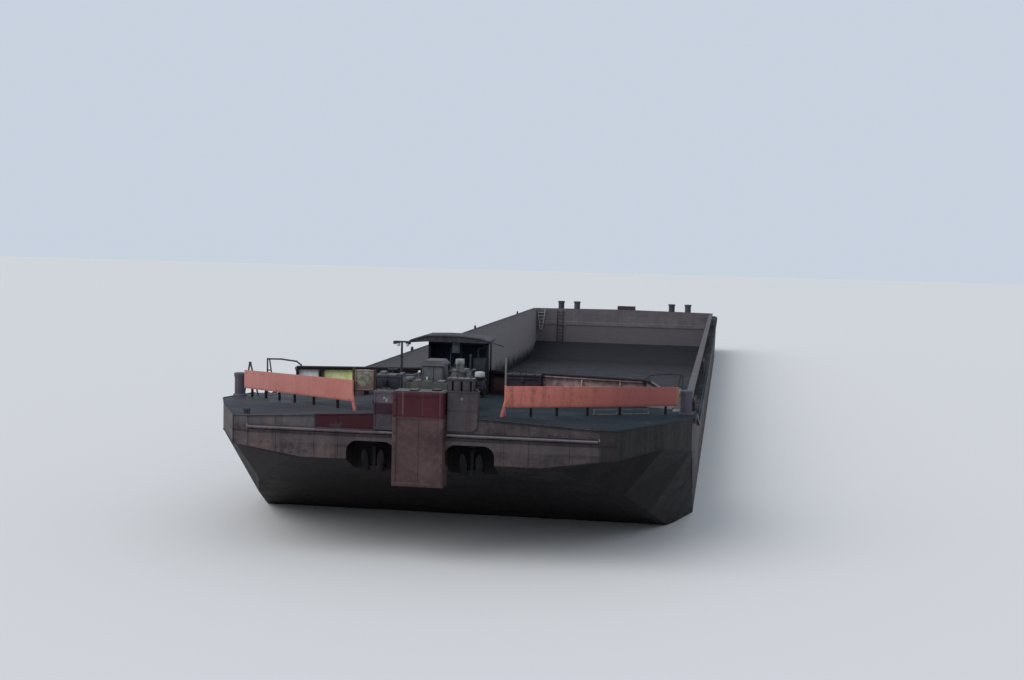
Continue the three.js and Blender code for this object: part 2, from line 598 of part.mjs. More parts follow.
const LOCKER = { x0: 152, x1: 265, y0: 690, y1: 756, top: 602 };
const lockerBody = box(LOCKER.x0, LOCKER.x1, LOCKER.y0, LOCKER.y1, 480, LOCKER.top)
  .subtract(box(LOCKER.x0 + 5, LOCKER.x1 - 5, LOCKER.y0 + 5, LOCKER.y1 - 5, 540, LOCKER.top + 5))
  .subtract(aboveDeck);
addPart('locker_body', lockerBody, DARK_STEEL, 0.8, 0.2);
const lockerLid = join(
  box(LOCKER.x0 - 3, LOCKER.x1 + 3, LOCKER.y0 - 4, LOCKER.y1 - 4, LOCKER.top + GAP, LOCKER.top + 5),
  rod([LOCKER.x0 + 8, LOCKER.y1 - 3, LOCKER.top + 3.5], [LOCKER.x1 - 8, LOCKER.y1 - 3, LOCKER.top + 3.5], 3, 8),
);
addPart('locker_lid', lockerLid, DARK_STEEL, 0.8, 0.2);

// Lamp mast with a T head

const mast = join(
  box(-166, -142, 388, 412, 500, deckZ(-154, 400) + 5),
  rod([-154, 400, 500], [-154, 400, 730], 4.5, 10, 3.5),
  rod([-180, 400, 730], [-128, 400, 730], 3, 8),
  rod([-178, 400, 731], [-178, 400, 722], 6, 8), rod([-130, 400, 731], [-130, 400, 722], 6, 8),
).subtract(aboveDeck);
addPart('lamp_mast', mast, DARK_STEEL, 0.6, 0.3);

// Guard rails beside the fore coaming, ending on its flange

for (const { side, sign } of SIDES) {
  const y = 815;
  const top = 616;
  const path = [[754, 470], [754, top], [702, top + 1], [644, top - 5], [626, 598], [626, 585]];
  const bars = path.slice(1).map(([x, z], i) => rod(
    [sign * path[i][0], y, path[i][1]], [sign * x, y, z], 3, 8,
  ));
  const elbows = path.slice(1, -1).map(([x, z]) => rod([sign * x, y, z - 3], [sign * x, y, z + 3], 3, 8));
  const brace = rod([sign * 746, y, top - 2], [sign * 724, y, 470], 2.6, 8);
  const pads = [754, 726].map((x) => box(sign * x - 8, sign * x + 8, y - 8, y + 8, 470, deckZ(x, y) + 3));
  const solid = join(...bars, ...elbows, brace, ...pads).subtract(aboveDeck).subtract(coamingSkins[side]);
  addPart(`guard_rail_${side}`, solid, DARK_STEEL, 0.6, 0.3);
}

// Small A stand outboard of the starboard board

const STAND_TOP = 619;
addPart('deck_stand_outer', join(
  rod([-784, 650, 496], [-763, 650, STAND_TOP - 3], 3, 8), rod([-730, 650, 496], [-761, 650, STAND_TOP - 3], 3, 8),
  box(-766, -758, 646, 654, STAND_TOP - 8, STAND_TOP), box(-770, -750, 648, 652, 560, 565),
).subtract(aboveDeck), DARK_STEEL, 0.7, 0.3);

// Boarding ladder standing on its edge behind the port board, against the struts

const LADDER = { t: 0.673, behind: 14, length: 224, high: 18, bar: 4, rungs: [-110, -20, 1, 110] };
const boardRun = new THREE.Vector2(BOARD_OUT.x - BOARD_IN.x, BOARD_OUT.y - BOARD_IN.y);
const boardWay = boardRun.clone().normalize();
const ladderX = BOARD_IN.x + LADDER.t * boardRun.x - LADDER.behind * boardWay.y;
const ladderY = BOARD_IN.y + LADDER.t * boardRun.y + LADDER.behind * boardWay.x;
const ladderBar = (x0, x1, z0, z1) => box(x0, x1, -LADDER.bar / 2, LADDER.bar / 2, z0, z1);
const boardingLadder = join(
  ladderBar(-LADDER.length / 2, LADDER.length / 2, -1, LADDER.bar - 1),
  ladderBar(-LADDER.length / 2, LADDER.length / 2, LADDER.high - LADDER.bar, LADDER.high),
  ...LADDER.rungs.map((x) => ladderBar(x - LADDER.bar / 2, x + LADDER.bar / 2, 0, LADDER.high - 1)),
);
const ladderEndZ = (reach) => deckZ(ladderX + reach * boardWay.x, ladderY + reach * boardWay.y);
const ladderTilt = THREE.MathUtils.radToDeg(Math.atan2(
  ladderEndZ(LADDER.length / 2) - ladderEndZ(-LADDER.length / 2), LADDER.length,
));
const ladderTurn = THREE.MathUtils.radToDeg(Math.atan2(boardRun.y, boardRun.x));
const placedLadder = boardingLadder.rotate([0, -ladderTilt, ladderTurn])
  .translate([ladderX, ladderY, deckZ(ladderX, ladderY)]);
addPart('deck_ladder', placedLadder.subtract(aboveDeck), PALE_GREY, 0.8, 0);

// Mushroom vents: a low one on the port side deck and a taller one before the shelter

addPart('deck_vent_port', join(
  rod([742, 700, 480], [742, 700, 566], 9, 12), rod([742, 700, 562], [742, 700, 578], 18, 14, 12),
).subtract(aboveDeck), PALE_GREY, 0.7, 0.1);
addPart('deck_vent_middle', join(
  rod([72, 605, 500], [72, 605, 608], 14, 14), rod([72, 605, 603], [72, 605, 619], 17, 16, 15.5),
).subtract(aboveDeck), PALE_GREY, 0.7, 0.1);

export default barge;
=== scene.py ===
from math import cos, pi, radians, sin

import bmesh
import bpy
from mathutils import Matrix, Vector


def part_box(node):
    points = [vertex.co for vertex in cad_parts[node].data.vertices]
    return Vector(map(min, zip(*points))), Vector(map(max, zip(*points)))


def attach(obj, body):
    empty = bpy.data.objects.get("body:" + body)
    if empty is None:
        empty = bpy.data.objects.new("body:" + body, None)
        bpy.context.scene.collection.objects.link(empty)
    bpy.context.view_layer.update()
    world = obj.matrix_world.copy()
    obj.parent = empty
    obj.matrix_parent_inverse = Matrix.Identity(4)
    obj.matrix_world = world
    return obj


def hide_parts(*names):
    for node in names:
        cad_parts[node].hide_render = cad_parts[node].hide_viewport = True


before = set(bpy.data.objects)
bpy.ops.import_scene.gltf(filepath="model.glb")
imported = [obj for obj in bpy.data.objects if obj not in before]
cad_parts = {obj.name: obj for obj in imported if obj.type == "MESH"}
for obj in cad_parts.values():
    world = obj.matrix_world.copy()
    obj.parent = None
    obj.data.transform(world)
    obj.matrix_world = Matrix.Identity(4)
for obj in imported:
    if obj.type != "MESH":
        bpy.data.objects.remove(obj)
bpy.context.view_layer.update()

# Floor.
# A plain pale studio floor lies at the hull's waterline, with an opening that stops inside the double sides.
WATERLINE = 0.10
FLOOR_SIZE, INNER_SIZE = 60, 4
OPENING_WIDE, OPENING_LONG, OPENING_AFT = 1.55, 6.91, 0.145
bpy.ops.object.select_all(action="DESELECT")
bpy.ops.mesh.primitive_plane_add(size=FLOOR_SIZE, location=(0, 0, WATERLINE))
floor = bpy.context.object
floor.name = "studio_floor"
bpy.ops.object.transform_apply()
bpy.ops.object.mode_set(mode="EDIT")
bpy.ops.mesh.inset(thickness=(FLOOR_SIZE - INNER_SIZE) / 2)
bpy.ops.transform.resize(
    value=(OPENING_WIDE / INNER_SIZE, OPENING_LONG / INNER_SIZE, 1), center_override=(0, 0, WATERLINE)
)
bpy.ops.transform.translate(value=(0, OPENING_AFT, 0))
bpy.ops.mesh.delete(type="FACE")
bpy.ops.object.mode_set(mode="OBJECT")
floor_paint = bpy.data.materials.new("studio_floor_paint")
floor_paint.use_nodes = True
floor_shader = floor_paint.node_tree.nodes["Principled BSDF"]
floor_shader.inputs["Base Color"].default_value = (0.68, 0.67, 0.65, 1)
floor_shader.inputs["Roughness"].default_value = 0.8
floor.data.materials.append(floor_paint)

# Light.
# A soft even sky with one broad lamp high on the left, as on a day of thin cloud.
TOWARDS_LAMP = (-0.62, -0.42, 0.72)
world = bpy.data.worlds.new("soft_sky")
bpy.context.scene.world = world
world.use_nodes = True
sky = world.node_tree.nodes["Background"]
sky.inputs["Color"].default_value = (0.83, 0.92, 1.06, 1)
sky.inputs["Strength"].default_value = 0.70
lamp_data = bpy.data.lights.new("broad_lamp", "SUN")
lamp_data.energy = 1.55
lamp_data.angle = radians(60)
lamp_data.color = (1.0, 0.98, 0.97)
lamp = bpy.data.objects.new("broad_lamp", lamp_data)
lamp.rotation_euler = Vector(TOWARDS_LAMP).to_track_quat("Z", "Y").to_euler()
bpy.context.collection.objects.link(lamp)
bpy.context.scene.view_settings.view_transform = "Standard"

# Camera.
# It stands high off the port bow, a little turned and tipped, as the photograph was taken.
CAMERA_PLACE = (0.9026402, -8.3353059, 1.0908144)
YAW, PITCH, ROLL = -0.1528244, -0.0753429, 0.0237301
FOCAL_PIXELS, PICTURE_PIXELS, SENSOR = 1400.19, 1024, 36
camera_data = bpy.data.cameras.new("photo_camera")
camera_data.sensor_width = SENSOR
camera_data.lens = FOCAL_PIXELS * SENSOR / PICTURE_PIXELS
camera = bpy.data.objects.new("photo_camera", camera_data)
camera.matrix_world = (
    Matrix.Translation(CAMERA_PLACE)
    @ Matrix.Rotation(-YAW, 4, "Z")
    @ Matrix.Rotation(pi / 2 + PITCH, 4, "X")
    @ Matrix.Rotation(ROLL, 4, "Z")
)
bpy.context.collection.objects.link(camera)
bpy.context.scene.camera = camera


# Hull.
# Welded steel plate on frames, in blocks: bow plate, fore peak, wing tanks, double bottom and after peak.
# It is painted a dull grey brown that rust, black dust and painted shade have darkened, with a wet slate
# deck on top.
class Wire:
    """One output socket in a material. Sums on wires add their Math nodes."""

    def __init__(self, tree, socket=None):
        self.tree = tree
        self.socket = socket

    def node(self, kind, settings=None, inputs=None, output=0):
        """Adds a node, sets it up, feeds its sockets with values or wires, and gives one of its outputs."""
        new = self.tree.nodes.new(kind)
        for name, value in (settings or {}).items():
            setattr(new, name, value)
        for key, value in (inputs or {}).items():
            if isinstance(value, Wire):
                self.tree.links.new(value.socket, new.inputs[key])
            else:
                new.inputs[key].default_value = value
        return Wire(self.tree, new.outputs[output])

    def maths(self, operation, first, second):
        return self.node("ShaderNodeMath", {"operation": operation}, {0: first, 1: second})

    def __add__(self, other):
        return self.maths("ADD", self, other)

    def __sub__(self, other):
        return self.maths("SUBTRACT", self, other)

    def __rsub__(self, other):
        return self.maths("SUBTRACT", other, self)

    def __mul__(self, other):
        return self.maths("MULTIPLY", self, other)

    __radd__ = __add__
    __rmul__ = __mul__

    def rise(self, low, high):
        """0 below low, 1 above high and a soft step between."""
        return self.node(
            "ShaderNodeMapRange", {"interpolation_type": "SMOOTHSTEP"}, {0: self, 1: low, 2: high}
        )

    def fall(self, low, high):
        """1 below low, 0 above high and a soft step between."""
        return 1 - self.rise(low, high)

    def band(self, low, high, soft):
        """1 between low and high, 0 outside, with soft edges."""
        return self.rise(low - soft, low + soft) * self.fall(high - soft, high + soft)

    def span(self):
        """This value without its sign."""
        return self.maths("ABSOLUTE", self, 0)

    def stripe(self, step, wide):
        """Narrow lines across the surface at every step of this value."""
        return (self.maths("PINGPONG", self, step / 2) * (2 / wide)).fall(0, 1)

    def split(self):
        """The three numbers of this vector."""
        return [self.node("ShaderNodeSeparateXYZ", None, {0: self}, axis) for axis in range(3)]

    def cloud(self, scale, stretch=(1, 1, 1), detail=6, rough=0.6):
        """Noise on this place, stretched by a factor on each axis."""
        spread = self.node("ShaderNodeVectorMath", {"operation": "MULTIPLY"}, {0: self, 1: stretch})
        return self.node(
            "ShaderNodeTexNoise", None,
            {"Vector": spread, "Scale": scale, "Detail": detail, "Roughness": rough},
        )

    def mixed(self, one, other):
        """A colour between one and other, by this wire."""
        pair = [tone if isinstance(tone, Wire) else (*tone, 1) for tone in (one, other)]
        return self.node("ShaderNodeMix", {"data_type": "RGBA"}, {0: self, 6: pair[0], 7: pair[1]}, 2)


class Coat:
    """Paint in the making: place, facing and noises to mask it by, and its colour, roughness and height."""

    def __init__(self, tree):
        self.at = Wire(tree).node("ShaderNodeTexCoord", output="Object")
        self.x, self.y, self.z = self.at.split()
        self.nx, self.ny, self.nz = self.at.node("ShaderNodeTexCoord", output="Normal").split()
        self.large = self.at.cloud(2.3, detail=5, rough=0.55)
        self.middle = self.at.cloud(11)
        self.fine = self.at.cloud(70, rough=0.7)
        self.runs = self.at.cloud(1.0, (55, 55, 3.0), detail=4)

    def grain(self, **shares):
        """The noises of these names, added up in these shares."""
        first, *others = [getattr(self, name) * share for name, share in shares.items()]
        return sum(others, first)

    def lay(self, mask, tone):
        """Covers the colour with a tone as far as the mask says."""
        self.colour = mask.mixed(self.colour, tone)


RUST = (0.085, 0.042, 0.028)
RUST_BRIGHT = (0.19, 0.075, 0.035)
# This near black serves for real grime and dark joints, and also for painted shade under the bow ledge,
# under the deck edge and under the fore coaming's flange.
GRIME_AND_SHADE = (0.012, 0.012, 0.014)
DECK_SLOPE = 0.052


def weathered(name, paint, faded, rust=0.4, streaks=0.4, rough=(0.45, 0.75), bump=0.35, finish=None):
    """Old ship's paint: it fades in clouds, rusts in blotches, streaks downwards and is pitted all over."""
    material = bpy.data.materials.new(name)
    material.use_nodes = True
    tree = material.node_tree
    coat = Coat(tree)
    even = coat.grain(middle=0.5, fine=0.5)
    rusty = coat.grain(large=0.35, middle=0.4, fine=0.25).rise(0.60 - 0.16 * rust, 0.70 - 0.12 * rust)
    run_mask = coat.grain(runs=0.75, middle=0.25).rise(0.50, 0.66) * coat.nz.span().fall(0.5, 0.85) * streaks
    coat.colour = coat.grain(large=0.6, middle=0.4).rise(0.36, 0.66).mixed(paint, faded)
    coat.roughness = rough[0] + (rough[1] - rough[0]) * even.rise(0.3, 0.7) + rusty * 0.15
    coat.height = even - rusty * 0.25
    coat.lay(rusty * min(1, 0.4 + rust), coat.fine.rise(0.35, 0.68).mixed(RUST, RUST_BRIGHT))
    coat.lay(run_mask, tuple(0.55 * a + 0.45 * b for a, b in zip(RUST, GRIME_AND_SHADE)))
    coat.lay(coat.grain(fine=0.6, runs=0.4).rise(0.42, 0.75) * 0.35, GRIME_AND_SHADE)
    if finish:
        finish(coat)
    bumped = coat.at.node(
        "ShaderNodeBump", None, {"Strength": bump, "Distance": 0.003, "Height": coat.height}
    )
    shader = tree.nodes["Principled BSDF"]
    tree.links.new(coat.colour.socket, shader.inputs["Base Color"])
    tree.links.new(coat.roughness.socket, shader.inputs["Roughness"])
    tree.links.new(bumped.socket, shader.inputs["Normal"])
    shader.inputs["Specular IOR Level"].default_value = 0.12
    return material


def dress(material, *nodes):
    """Gives each of these CAD nodes the material in all its slots."""
    for node in nodes:
        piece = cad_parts[node]
        if not piece.material_slots:
            piece.data.materials.append(material)
        for held in piece.material_slots:
            held.material = material


def hold_wall(coat):
    """The tone of the walls round the hold: dusty grey brown, with painted light making the walls facing +x
    paler.
    """
    dusty = coat.grain(middle=0.7, runs=0.3).rise(0.38, 0.64)
    wall = dusty.mixed((0.130, 0.116, 0.124), (0.175, 0.158, 0.165))
    # Painted light: walls that face +x are painted paler.
    return (coat.nx.rise(0.3, 0.6) * 0.8).mixed(wall, (0.31, 0.283, 0.284))


def hull_finish(coat):
    """Own tones for deck, hold and outer shell, the bow plate's maroon patch, and painted shade and light.
    """
    even = coat.grain(middle=0.5, fine=0.5)
    up = coat.nz.rise(0.4, 0.75)
    bow = coat.y.fall(-4.15, -4.10)
    front = bow * (1 - up)
    hold = (coat.x * coat.x).fall(0.56, 0.5625) * coat.y.rise(-3.4512, -3.4508) * coat.y.fall(3.7505, 3.7515)

    mottle = coat.grain(fine=0.6, middle=0.4)
    coat.lay(mottle.rise(0.49, 0.60) * 0.65, (0.120, 0.088, 0.086))
    coat.lay(mottle.fall(0.40, 0.50) * 0.6, (0.022, 0.016, 0.017))
    # Painted shade: the bow is painted darker and bluer towards port.
    port_bow_shade = coat.x.rise(-0.35, 0.50) * coat.y.fall(-3.9, -3.2)
    coat.lay(port_bow_shade * 0.45, (0.026, 0.025, 0.031))
    # Painted shade: near the bow, faces turned to port and the port end of the bow plate are painted near
    # black in streaks.
    port_shoulder_shade = coat.nx.rise(0.35, 0.6) * coat.y.fall(-3.5, -2.9)
    shade_streaks = coat.grain(runs=0.6, middle=0.4).rise(0.42, 0.6)
    streaky_shade = shade_streaks.mixed((0.006, 0.006, 0.007), (0.020, 0.019, 0.018))
    coat.lay(port_shoulder_shade * 0.88, streaky_shade)
    port_end_shade = front * coat.x.rise(0.545, 0.5475)
    coat.lay(port_end_shade * 0.56, streaky_shade)
    coat.lay(front * coat.x.rise(0.49, 0.55) * 0.28, streaky_shade)
    # Faces turned downwards are painted near black, partly the black bottom coating and partly painted
    # shade.
    underside_coat_and_shade = (coat.nz * -1).rise(0.10, 0.30)
    coat.lay(underside_coat_and_shade * 0.93, even.rise(0.42, 0.62).mixed((0.0045, 0.0045, 0.006), (0.018, 0.015, 0.015)))

    fold = coat.z.band(0.443, 0.468, 0.003) * front * (1 - port_shoulder_shade) * (1 - port_end_shade)
    coat.lay(fold * 0.35, (0.095, 0.080, 0.080))
    # Painted shadow: a dark band on the bow plate just under the ledge.
    under = coat.z.band(0.468, 0.4755, 0.002) * front * (1 - port_shoulder_shade)
    coat.lay(under * 0.5, GRIME_AND_SHADE)
    # Painted shadow: a dark line on the bow plate just under the deck edge.
    deck_edge_shade = (coat.z + coat.x.span() * DECK_SLOPE).band(0.5395, 0.5450, 0.001) * coat.y.fall(-4.2495, -4.2485)
    coat.lay(deck_edge_shade * 0.6, GRIME_AND_SHADE)
    # Painted highlight: the ledge across the bow plate is painted pale.
    ledge = coat.z.band(0.486, 0.4945, 0.001) * coat.y.fall(-4.2515, -4.2505) * bow
    coat.lay(ledge * 0.85, (0.185, 0.160, 0.165))
    # Painted light: the starboard half of the bow plate above the ledge is painted paler and bluer.
    paler = coat.x.fall(-0.30, 0.0) * front * coat.z.rise(0.490, 0.495)
    coat.lay(paler * 0.2, (0.12, 0.14, 0.155))
    patch = coat.x.band(-0.327, -0.125, 0.003) * coat.z.band(0.488, 0.56, 0.004) * front
    coat.lay(patch * even.rise(0.34, 0.46) * 0.95, (0.036, 0.0065, 0.010))
    # Painted shade: the anchor recesses are painted near black inside.
    recess_shade = coat.x.span().band(0.0775, 0.2275, 0.001) * coat.z.fall(0.4565, 0.458)
    recess_shade = recess_shade * coat.y.rise(-4.2495, -4.235) * coat.y.fall(-4.149, -4.145)
    coat.lay(recess_shade * 0.93, (0.0025, 0.0025, 0.004))

    inner = hold_wall(coat)
    foot_of_wall = (coat.z + coat.middle * 0.02).fall(0.32, 0.335) * coat.nx.fall(0.3, 0.6)
    inner = foot_of_wall.mixed(inner, (0.135, 0.122, 0.130))
    far_line = coat.z.band(0.344, 0.350, 0.001) * coat.y.rise(3.74, 3.745)
    inner = (far_line * 0.5).mixed(inner, (0.26, 0.245, 0.25))
    inner = (coat.fine.rise(0.5, 0.7) * 0.4).mixed(inner, (0.095, 0.056, 0.045))
    dust = (up * 0.16 - coat.z + coat.middle * 0.10).rise(-0.13, -0.02)
    coat.lay(hold, dust.mixed(inner, (0.022, 0.023, 0.027)))

    deck = up * coat.z.rise(0.37, 0.38) * (1 - hold)
    # Painted shade: the deck is painted darker and bluer towards port.
    port = coat.x.rise(-0.30, 0.35)
    dry = coat.grain(large=0.6, middle=0.4).rise(0.35, 0.7)
    slate = port.mixed((0.036, 0.039, 0.046), (0.010, 0.019, 0.025))
    slate = (dry * 0.6).mixed(slate, port.mixed((0.058, 0.061, 0.070), (0.018, 0.028, 0.036)))
    coat.lay(deck, (even.rise(0.54, 0.64) * 0.5).mixed(slate, (0.040, 0.030, 0.027)))
    joints = coat.y.stripe(0.6, 0.0024) * (1 - front)
    coat.lay(joints * 0.45, GRIME_AND_SHADE)
    wet = deck * coat.grain(large=0.7, middle=0.3).rise(0.50, 0.58)
    coat.roughness = coat.roughness + deck * 0.22 - wet * 0.22
    coat.height = coat.height * (1 - wet * 0.7) + joints * 0.4
    low = (coat.z + coat.middle * 0.05).fall(0.20, 0.34) * (1 - hold)
    coat.lay(low * 0.6, (0.020, 0.017, 0.017))


hull_paint = weathered(
    "hull_grey_brown", (0.050, 0.038, 0.040), (0.097, 0.075, 0.076),
    rust=0.5, streaks=0.75, finish=hull_finish,
)
dress(
    hull_paint,
    "hull_bow_plate", "hull_forepeak", "hull_afterpeak",
    "double_bottom", "hold_slope_fore", "hold_slope_aft",
    "wing_tank_fore_port", "wing_tank_fore_starboard", "wing_tank_port", "wing_tank_starboard",
    "skeg_port", "skeg_starboard", "bow_hatch_rim_port", "bow_hatch_rim_starboard", "stern_hatch_rim",
)


# Deck edge bar and weld seams of the hull.
# A half-round bar is welded along the edge of the deck from bow to stern, and the butts of the bow plates
# are welded in low beads that show through the paint.
BOW_PLATE_TO_ORIGIN = 4250


def spot(x, y, z):
    """A point of the drawing, in millimetres with y from the bow plate, as metres in the model."""
    return Vector((x, y - BOW_PLATE_TO_ORIGIN, z)) / 1000


def pick(test):
    """Opens the active piece for editing with only the faces that pass the test selected."""
    bpy.ops.object.mode_set(mode="EDIT")
    bpy.ops.mesh.select_mode(type="FACE")
    bpy.ops.mesh.select_all(action="DESELECT")
    work = bmesh.from_edit_mesh(bpy.context.object.data)
    for face in work.faces:
        if test(face):
            face.select_set(True)
    bmesh.update_edit_mesh(bpy.context.object.data)


def bar(low, high, edge=1.0):
    """A flat bar, plate or casting between two corners of the drawing, its edges ground off."""
    low, high = spot(*low), spot(*high)
    bpy.ops.object.select_all(action="DESELECT")
    bpy.ops.mesh.primitive_cube_add(size=1, location=(low + high) / 2, scale=high - low)
    bpy.ops.object.transform_apply()
    bpy.ops.object.mode_set(mode="EDIT")
    bpy.ops.mesh.bevel(offset=edge / 1000, segments=2, affect="EDGES")
    bpy.ops.object.mode_set(mode="OBJECT")
    return bpy.context.object


def rod(start, end, radius, sides=12):
    """A round bar between two points of the drawing, its ends chamfered."""
    start, end = spot(*start), spot(*end)
    run = end - start
    bpy.ops.object.select_all(action="DESELECT")
    bpy.ops.mesh.primitive_cone_add(
        vertices=sides, radius1=radius / 1000, radius2=radius / 1000, depth=run.length,
        location=(start + end) / 2, rotation=run.to_track_quat("Z", "Y").to_euler(),
    )
    bpy.ops.object.transform_apply()
    pick(lambda face: len(face.verts) == sides)
    bpy.ops.mesh.bevel(offset=0.0008, segments=1, affect="EDGES")
    bpy.ops.object.mode_set(mode="OBJECT")
    return bpy.context.object


def turned(start, axis, rings, sides=20):
    """A lathe-turned part, drawn out along axis from a disc at start through rings of (distance, radius)."""
    bpy.ops.object.select_all(action="DESELECT")
    away, wide = rings[0]
    bpy.ops.mesh.primitive_circle_add(
        vertices=sides, radius=wide / 1000, fill_type="NGON", location=(0, 0, away / 1000)
    )
    bpy.ops.object.transform_apply()
    bpy.ops.object.mode_set(mode="EDIT")
    for next_away, next_wide in rings[1:]:
        push = {"value": (0, 0, (next_away - away) / 1000)}
        bpy.ops.mesh.extrude_region_move(TRANSFORM_OT_translate=push)
        bpy.ops.transform.resize(value=(next_wide / wide, next_wide / wide, 1), center_override=(0, 0, 0))
        away, wide = next_away, next_wide
    bpy.ops.mesh.select_all(action="SELECT")
    bpy.ops.mesh.normals_make_consistent(inside=False)
    bpy.ops.object.mode_set(mode="OBJECT")
    part = bpy.context.object
    part.rotation_euler = Vector(axis).to_track_quat("Z", "Y").to_euler()
    part.location = spot(*start)
    bpy.ops.object.transform_apply()
    return part


def tube(points, radius, sides=2, closed=False):
    """A bent pipe or weld bead along points of the drawing."""
    curve = bpy.data.curves.new("pipe", "CURVE")
    curve.dimensions = "3D"
    curve.bevel_depth = radius / 1000
    curve.bevel_resolution = sides
    curve.use_fill_caps = not closed
    spline = curve.splines.new("POLY")
    spline.points.add(len(points) - 1)
    for point, place in zip(spline.points, points):
        point.co = (*spot(*place), 1)
    spline.use_cyclic_u = closed
    piece = bpy.data.objects.new("pipe", curve)
    bpy.context.collection.objects.link(piece)
    bpy.ops.object.select_all(action="DESELECT")
    piece.select_set(True)
    bpy.context.view_layer.objects.active = piece
    bpy.ops.object.convert(target="MESH")
    return bpy.context.object


def twin_of(part, matrix):
    """A copy of the part with a mesh of its own, moved by the matrix."""
    twin = part.copy()
    twin.data = part.data.copy()
    twin.data.transform(matrix)
    bpy.context.collection.objects.link(twin)
    return twin


def copied(part, *steps):
    """The part and copies of it, each moved by one of these steps."""
    return [part] + [twin_of(part, Matrix.Translation(Vector(step) / 1000)) for step in steps]


def both_sides(*parts):
    """The parts and their mirror images across the ship."""
    twins = [twin_of(part, Matrix.Scale(-1, 4, (1, 0, 0))) for part in parts]
    for twin in twins:
        twin.data.flip_normals()
    return [*parts, *twins]


def joined(name, parts, material, body="barge", replaces=()):
    """Welds parts into one named piece with its finish and sets it on the body that carries it."""
    bpy.ops.object.select_all(action="DESELECT")
    for part in parts:
        part.select_set(True)
    bpy.context.view_layer.objects.active = parts[0]
    if len(parts) > 1:
        bpy.ops.object.join()
    piece = bpy.context.object
    piece.name = name
    piece.data.name = name
    piece.data.materials.clear()
    piece.data.materials.append(material)
    bpy.ops.object.shade_smooth_by_angle(angle=radians(35))
    if replaces:
        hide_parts(*replaces)
    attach(piece, body)


DECK_EDGE = [
    (540, 0, 520), (592, 15, 518), (718, 280, 512), (800, 490, 507), (800, 800, 491), (800, 1050, 444),
    (800, 1300, 395), (800, 8000, 395), (800, 8420, 405), (740, 8500, 407),
]
BOW_CHINE = [
    (228, 0, 400), (370, 0, 400), (540, 0, 426), (592, 15, 429),
    (718, 280, 434), (800, 490, 400), (800, 800, 220),
]
edge_bars = both_sides(tube(DECK_EDGE, 3)) + [tube([(-540, 0, 520), (0, 0, 548), (540, 0, 520)], 2.6)]
corner_bars = [tube([(541, 1, 430), (541, 1, 519)], 3.2), tube([(592, 15, 428), (592, 15, 517)], 2.2)]
edge_bars += both_sides(*corner_bars)
joined("deck_edge_bar", edge_bars, hull_paint)
seams = []
for x, foot in ((255, 402), (330, 402), (452, 414)):
    seams += both_sides(tube([(x, 0, foot), (x, 0, 546 - DECK_SLOPE * x)], 1.3, 1))
for y, foot in [(y, 42) for y in range(1900, 7400, 600)] + [(7900, 140)]:
    seams += both_sides(tube([(800, y, foot), (800, y, 374)], 1.2, 1))
joined("hull_weld_seams", seams + both_sides(tube(BOW_CHINE, 1.5, 1)), hull_paint)

# Air pipes on the side decks.
# Swan-neck steel pipes let air out of the wing tanks. Each stands on a doubler plate and has a capped mouth.
SWAN_NECK = [(0, 396), (0, 452), (3, 461), (11, 467), (20, 466), (26, 459), (27, 448)]
pipes = []
for y in (1500, 3300, 5200, 7100):
    pipes.append(tube([(784, y + aft, z) for aft, z in SWAN_NECK], 5.5, 3))
    pipes.append(rod((784, y + 27, 452), (784, y + 27, 444), 8.5, 14))
    pipes.append(bar((775, y - 9, 395), (793, y + 9, 398.5)))
joined("side_air_pipes", both_sides(*pipes), hull_paint)


# Coupling blocks and the chest beside the bow one.
# Thick steel castings that take the push when hulls are coupled. They are welded to the plate behind them,
# with flat bars round their faces.
def block_finish(coat):
    """Fresh maroon on the upper panel, bare rust below, a worn grey top and a chest with a pale fleck."""
    mottle = coat.grain(middle=0.5, fine=0.5).rise(0.4, 0.6)
    upper = coat.z.rise(0.541, 0.549)
    below = (coat.z + coat.middle * 0.012).fall(0.541, 0.549)
    bare = coat.grain(middle=0.6, fine=0.4).rise(0.36, 0.66)
    coat.lay(below * 0.95, bare.mixed((0.048, 0.029, 0.031), (0.098, 0.062, 0.060)))
    top = coat.nz.rise(0.5, 0.8) * coat.z.rise(0.60, 0.605)
    coat.lay(top * 0.9, (0.112, 0.115, 0.115))
    beside = coat.x.fall(-0.0795, -0.0785)
    chest = beside * coat.z.rise(0.573, 0.578)
    coat.lay(chest * 0.9, mottle.mixed((0.068, 0.061, 0.070), (0.112, 0.101, 0.112)))
    fleck = coat.x.band(-0.113, -0.107, 0.002) * coat.z.band(0.589, 0.594, 0.002)
    fleck = fleck + coat.x.band(-0.105, -0.100, 0.002) * coat.z.band(0.580, 0.590, 0.002)
    coat.lay(fleck * coat.ny.fall(-0.9, -0.5) * 0.8, (0.30, 0.30, 0.31))
    coat.lay(beside * coat.z.band(0.541, 0.575, 0.002) * 0.9, (0.036, 0.016, 0.026))
    foot_tone = mottle.mixed((0.044, 0.039, 0.044), (0.072, 0.065, 0.073))
    coat.lay(beside * coat.z.fall(0.539, 0.543) * 0.9, foot_tone)
    seam = coat.x.band(-0.050, -0.044, 0.001) + coat.x.band(0.012, 0.0145, 0.001) * 0.5
    seam = seam + coat.x.band(0.0645, 0.068, 0.001) * 0.6
    panel = (1 - chest) * (1 - top) * upper
    coat.lay(seam * panel * coat.x.band(-0.078, 0.0795, 0.0005) * 0.7, (0.105, 0.062, 0.060))
    coat.lay(coat.x.band(-0.078, -0.052, 0.001) * panel * 0.5, (0.060, 0.026, 0.029))
    coat.roughness = coat.roughness + below * 0.1


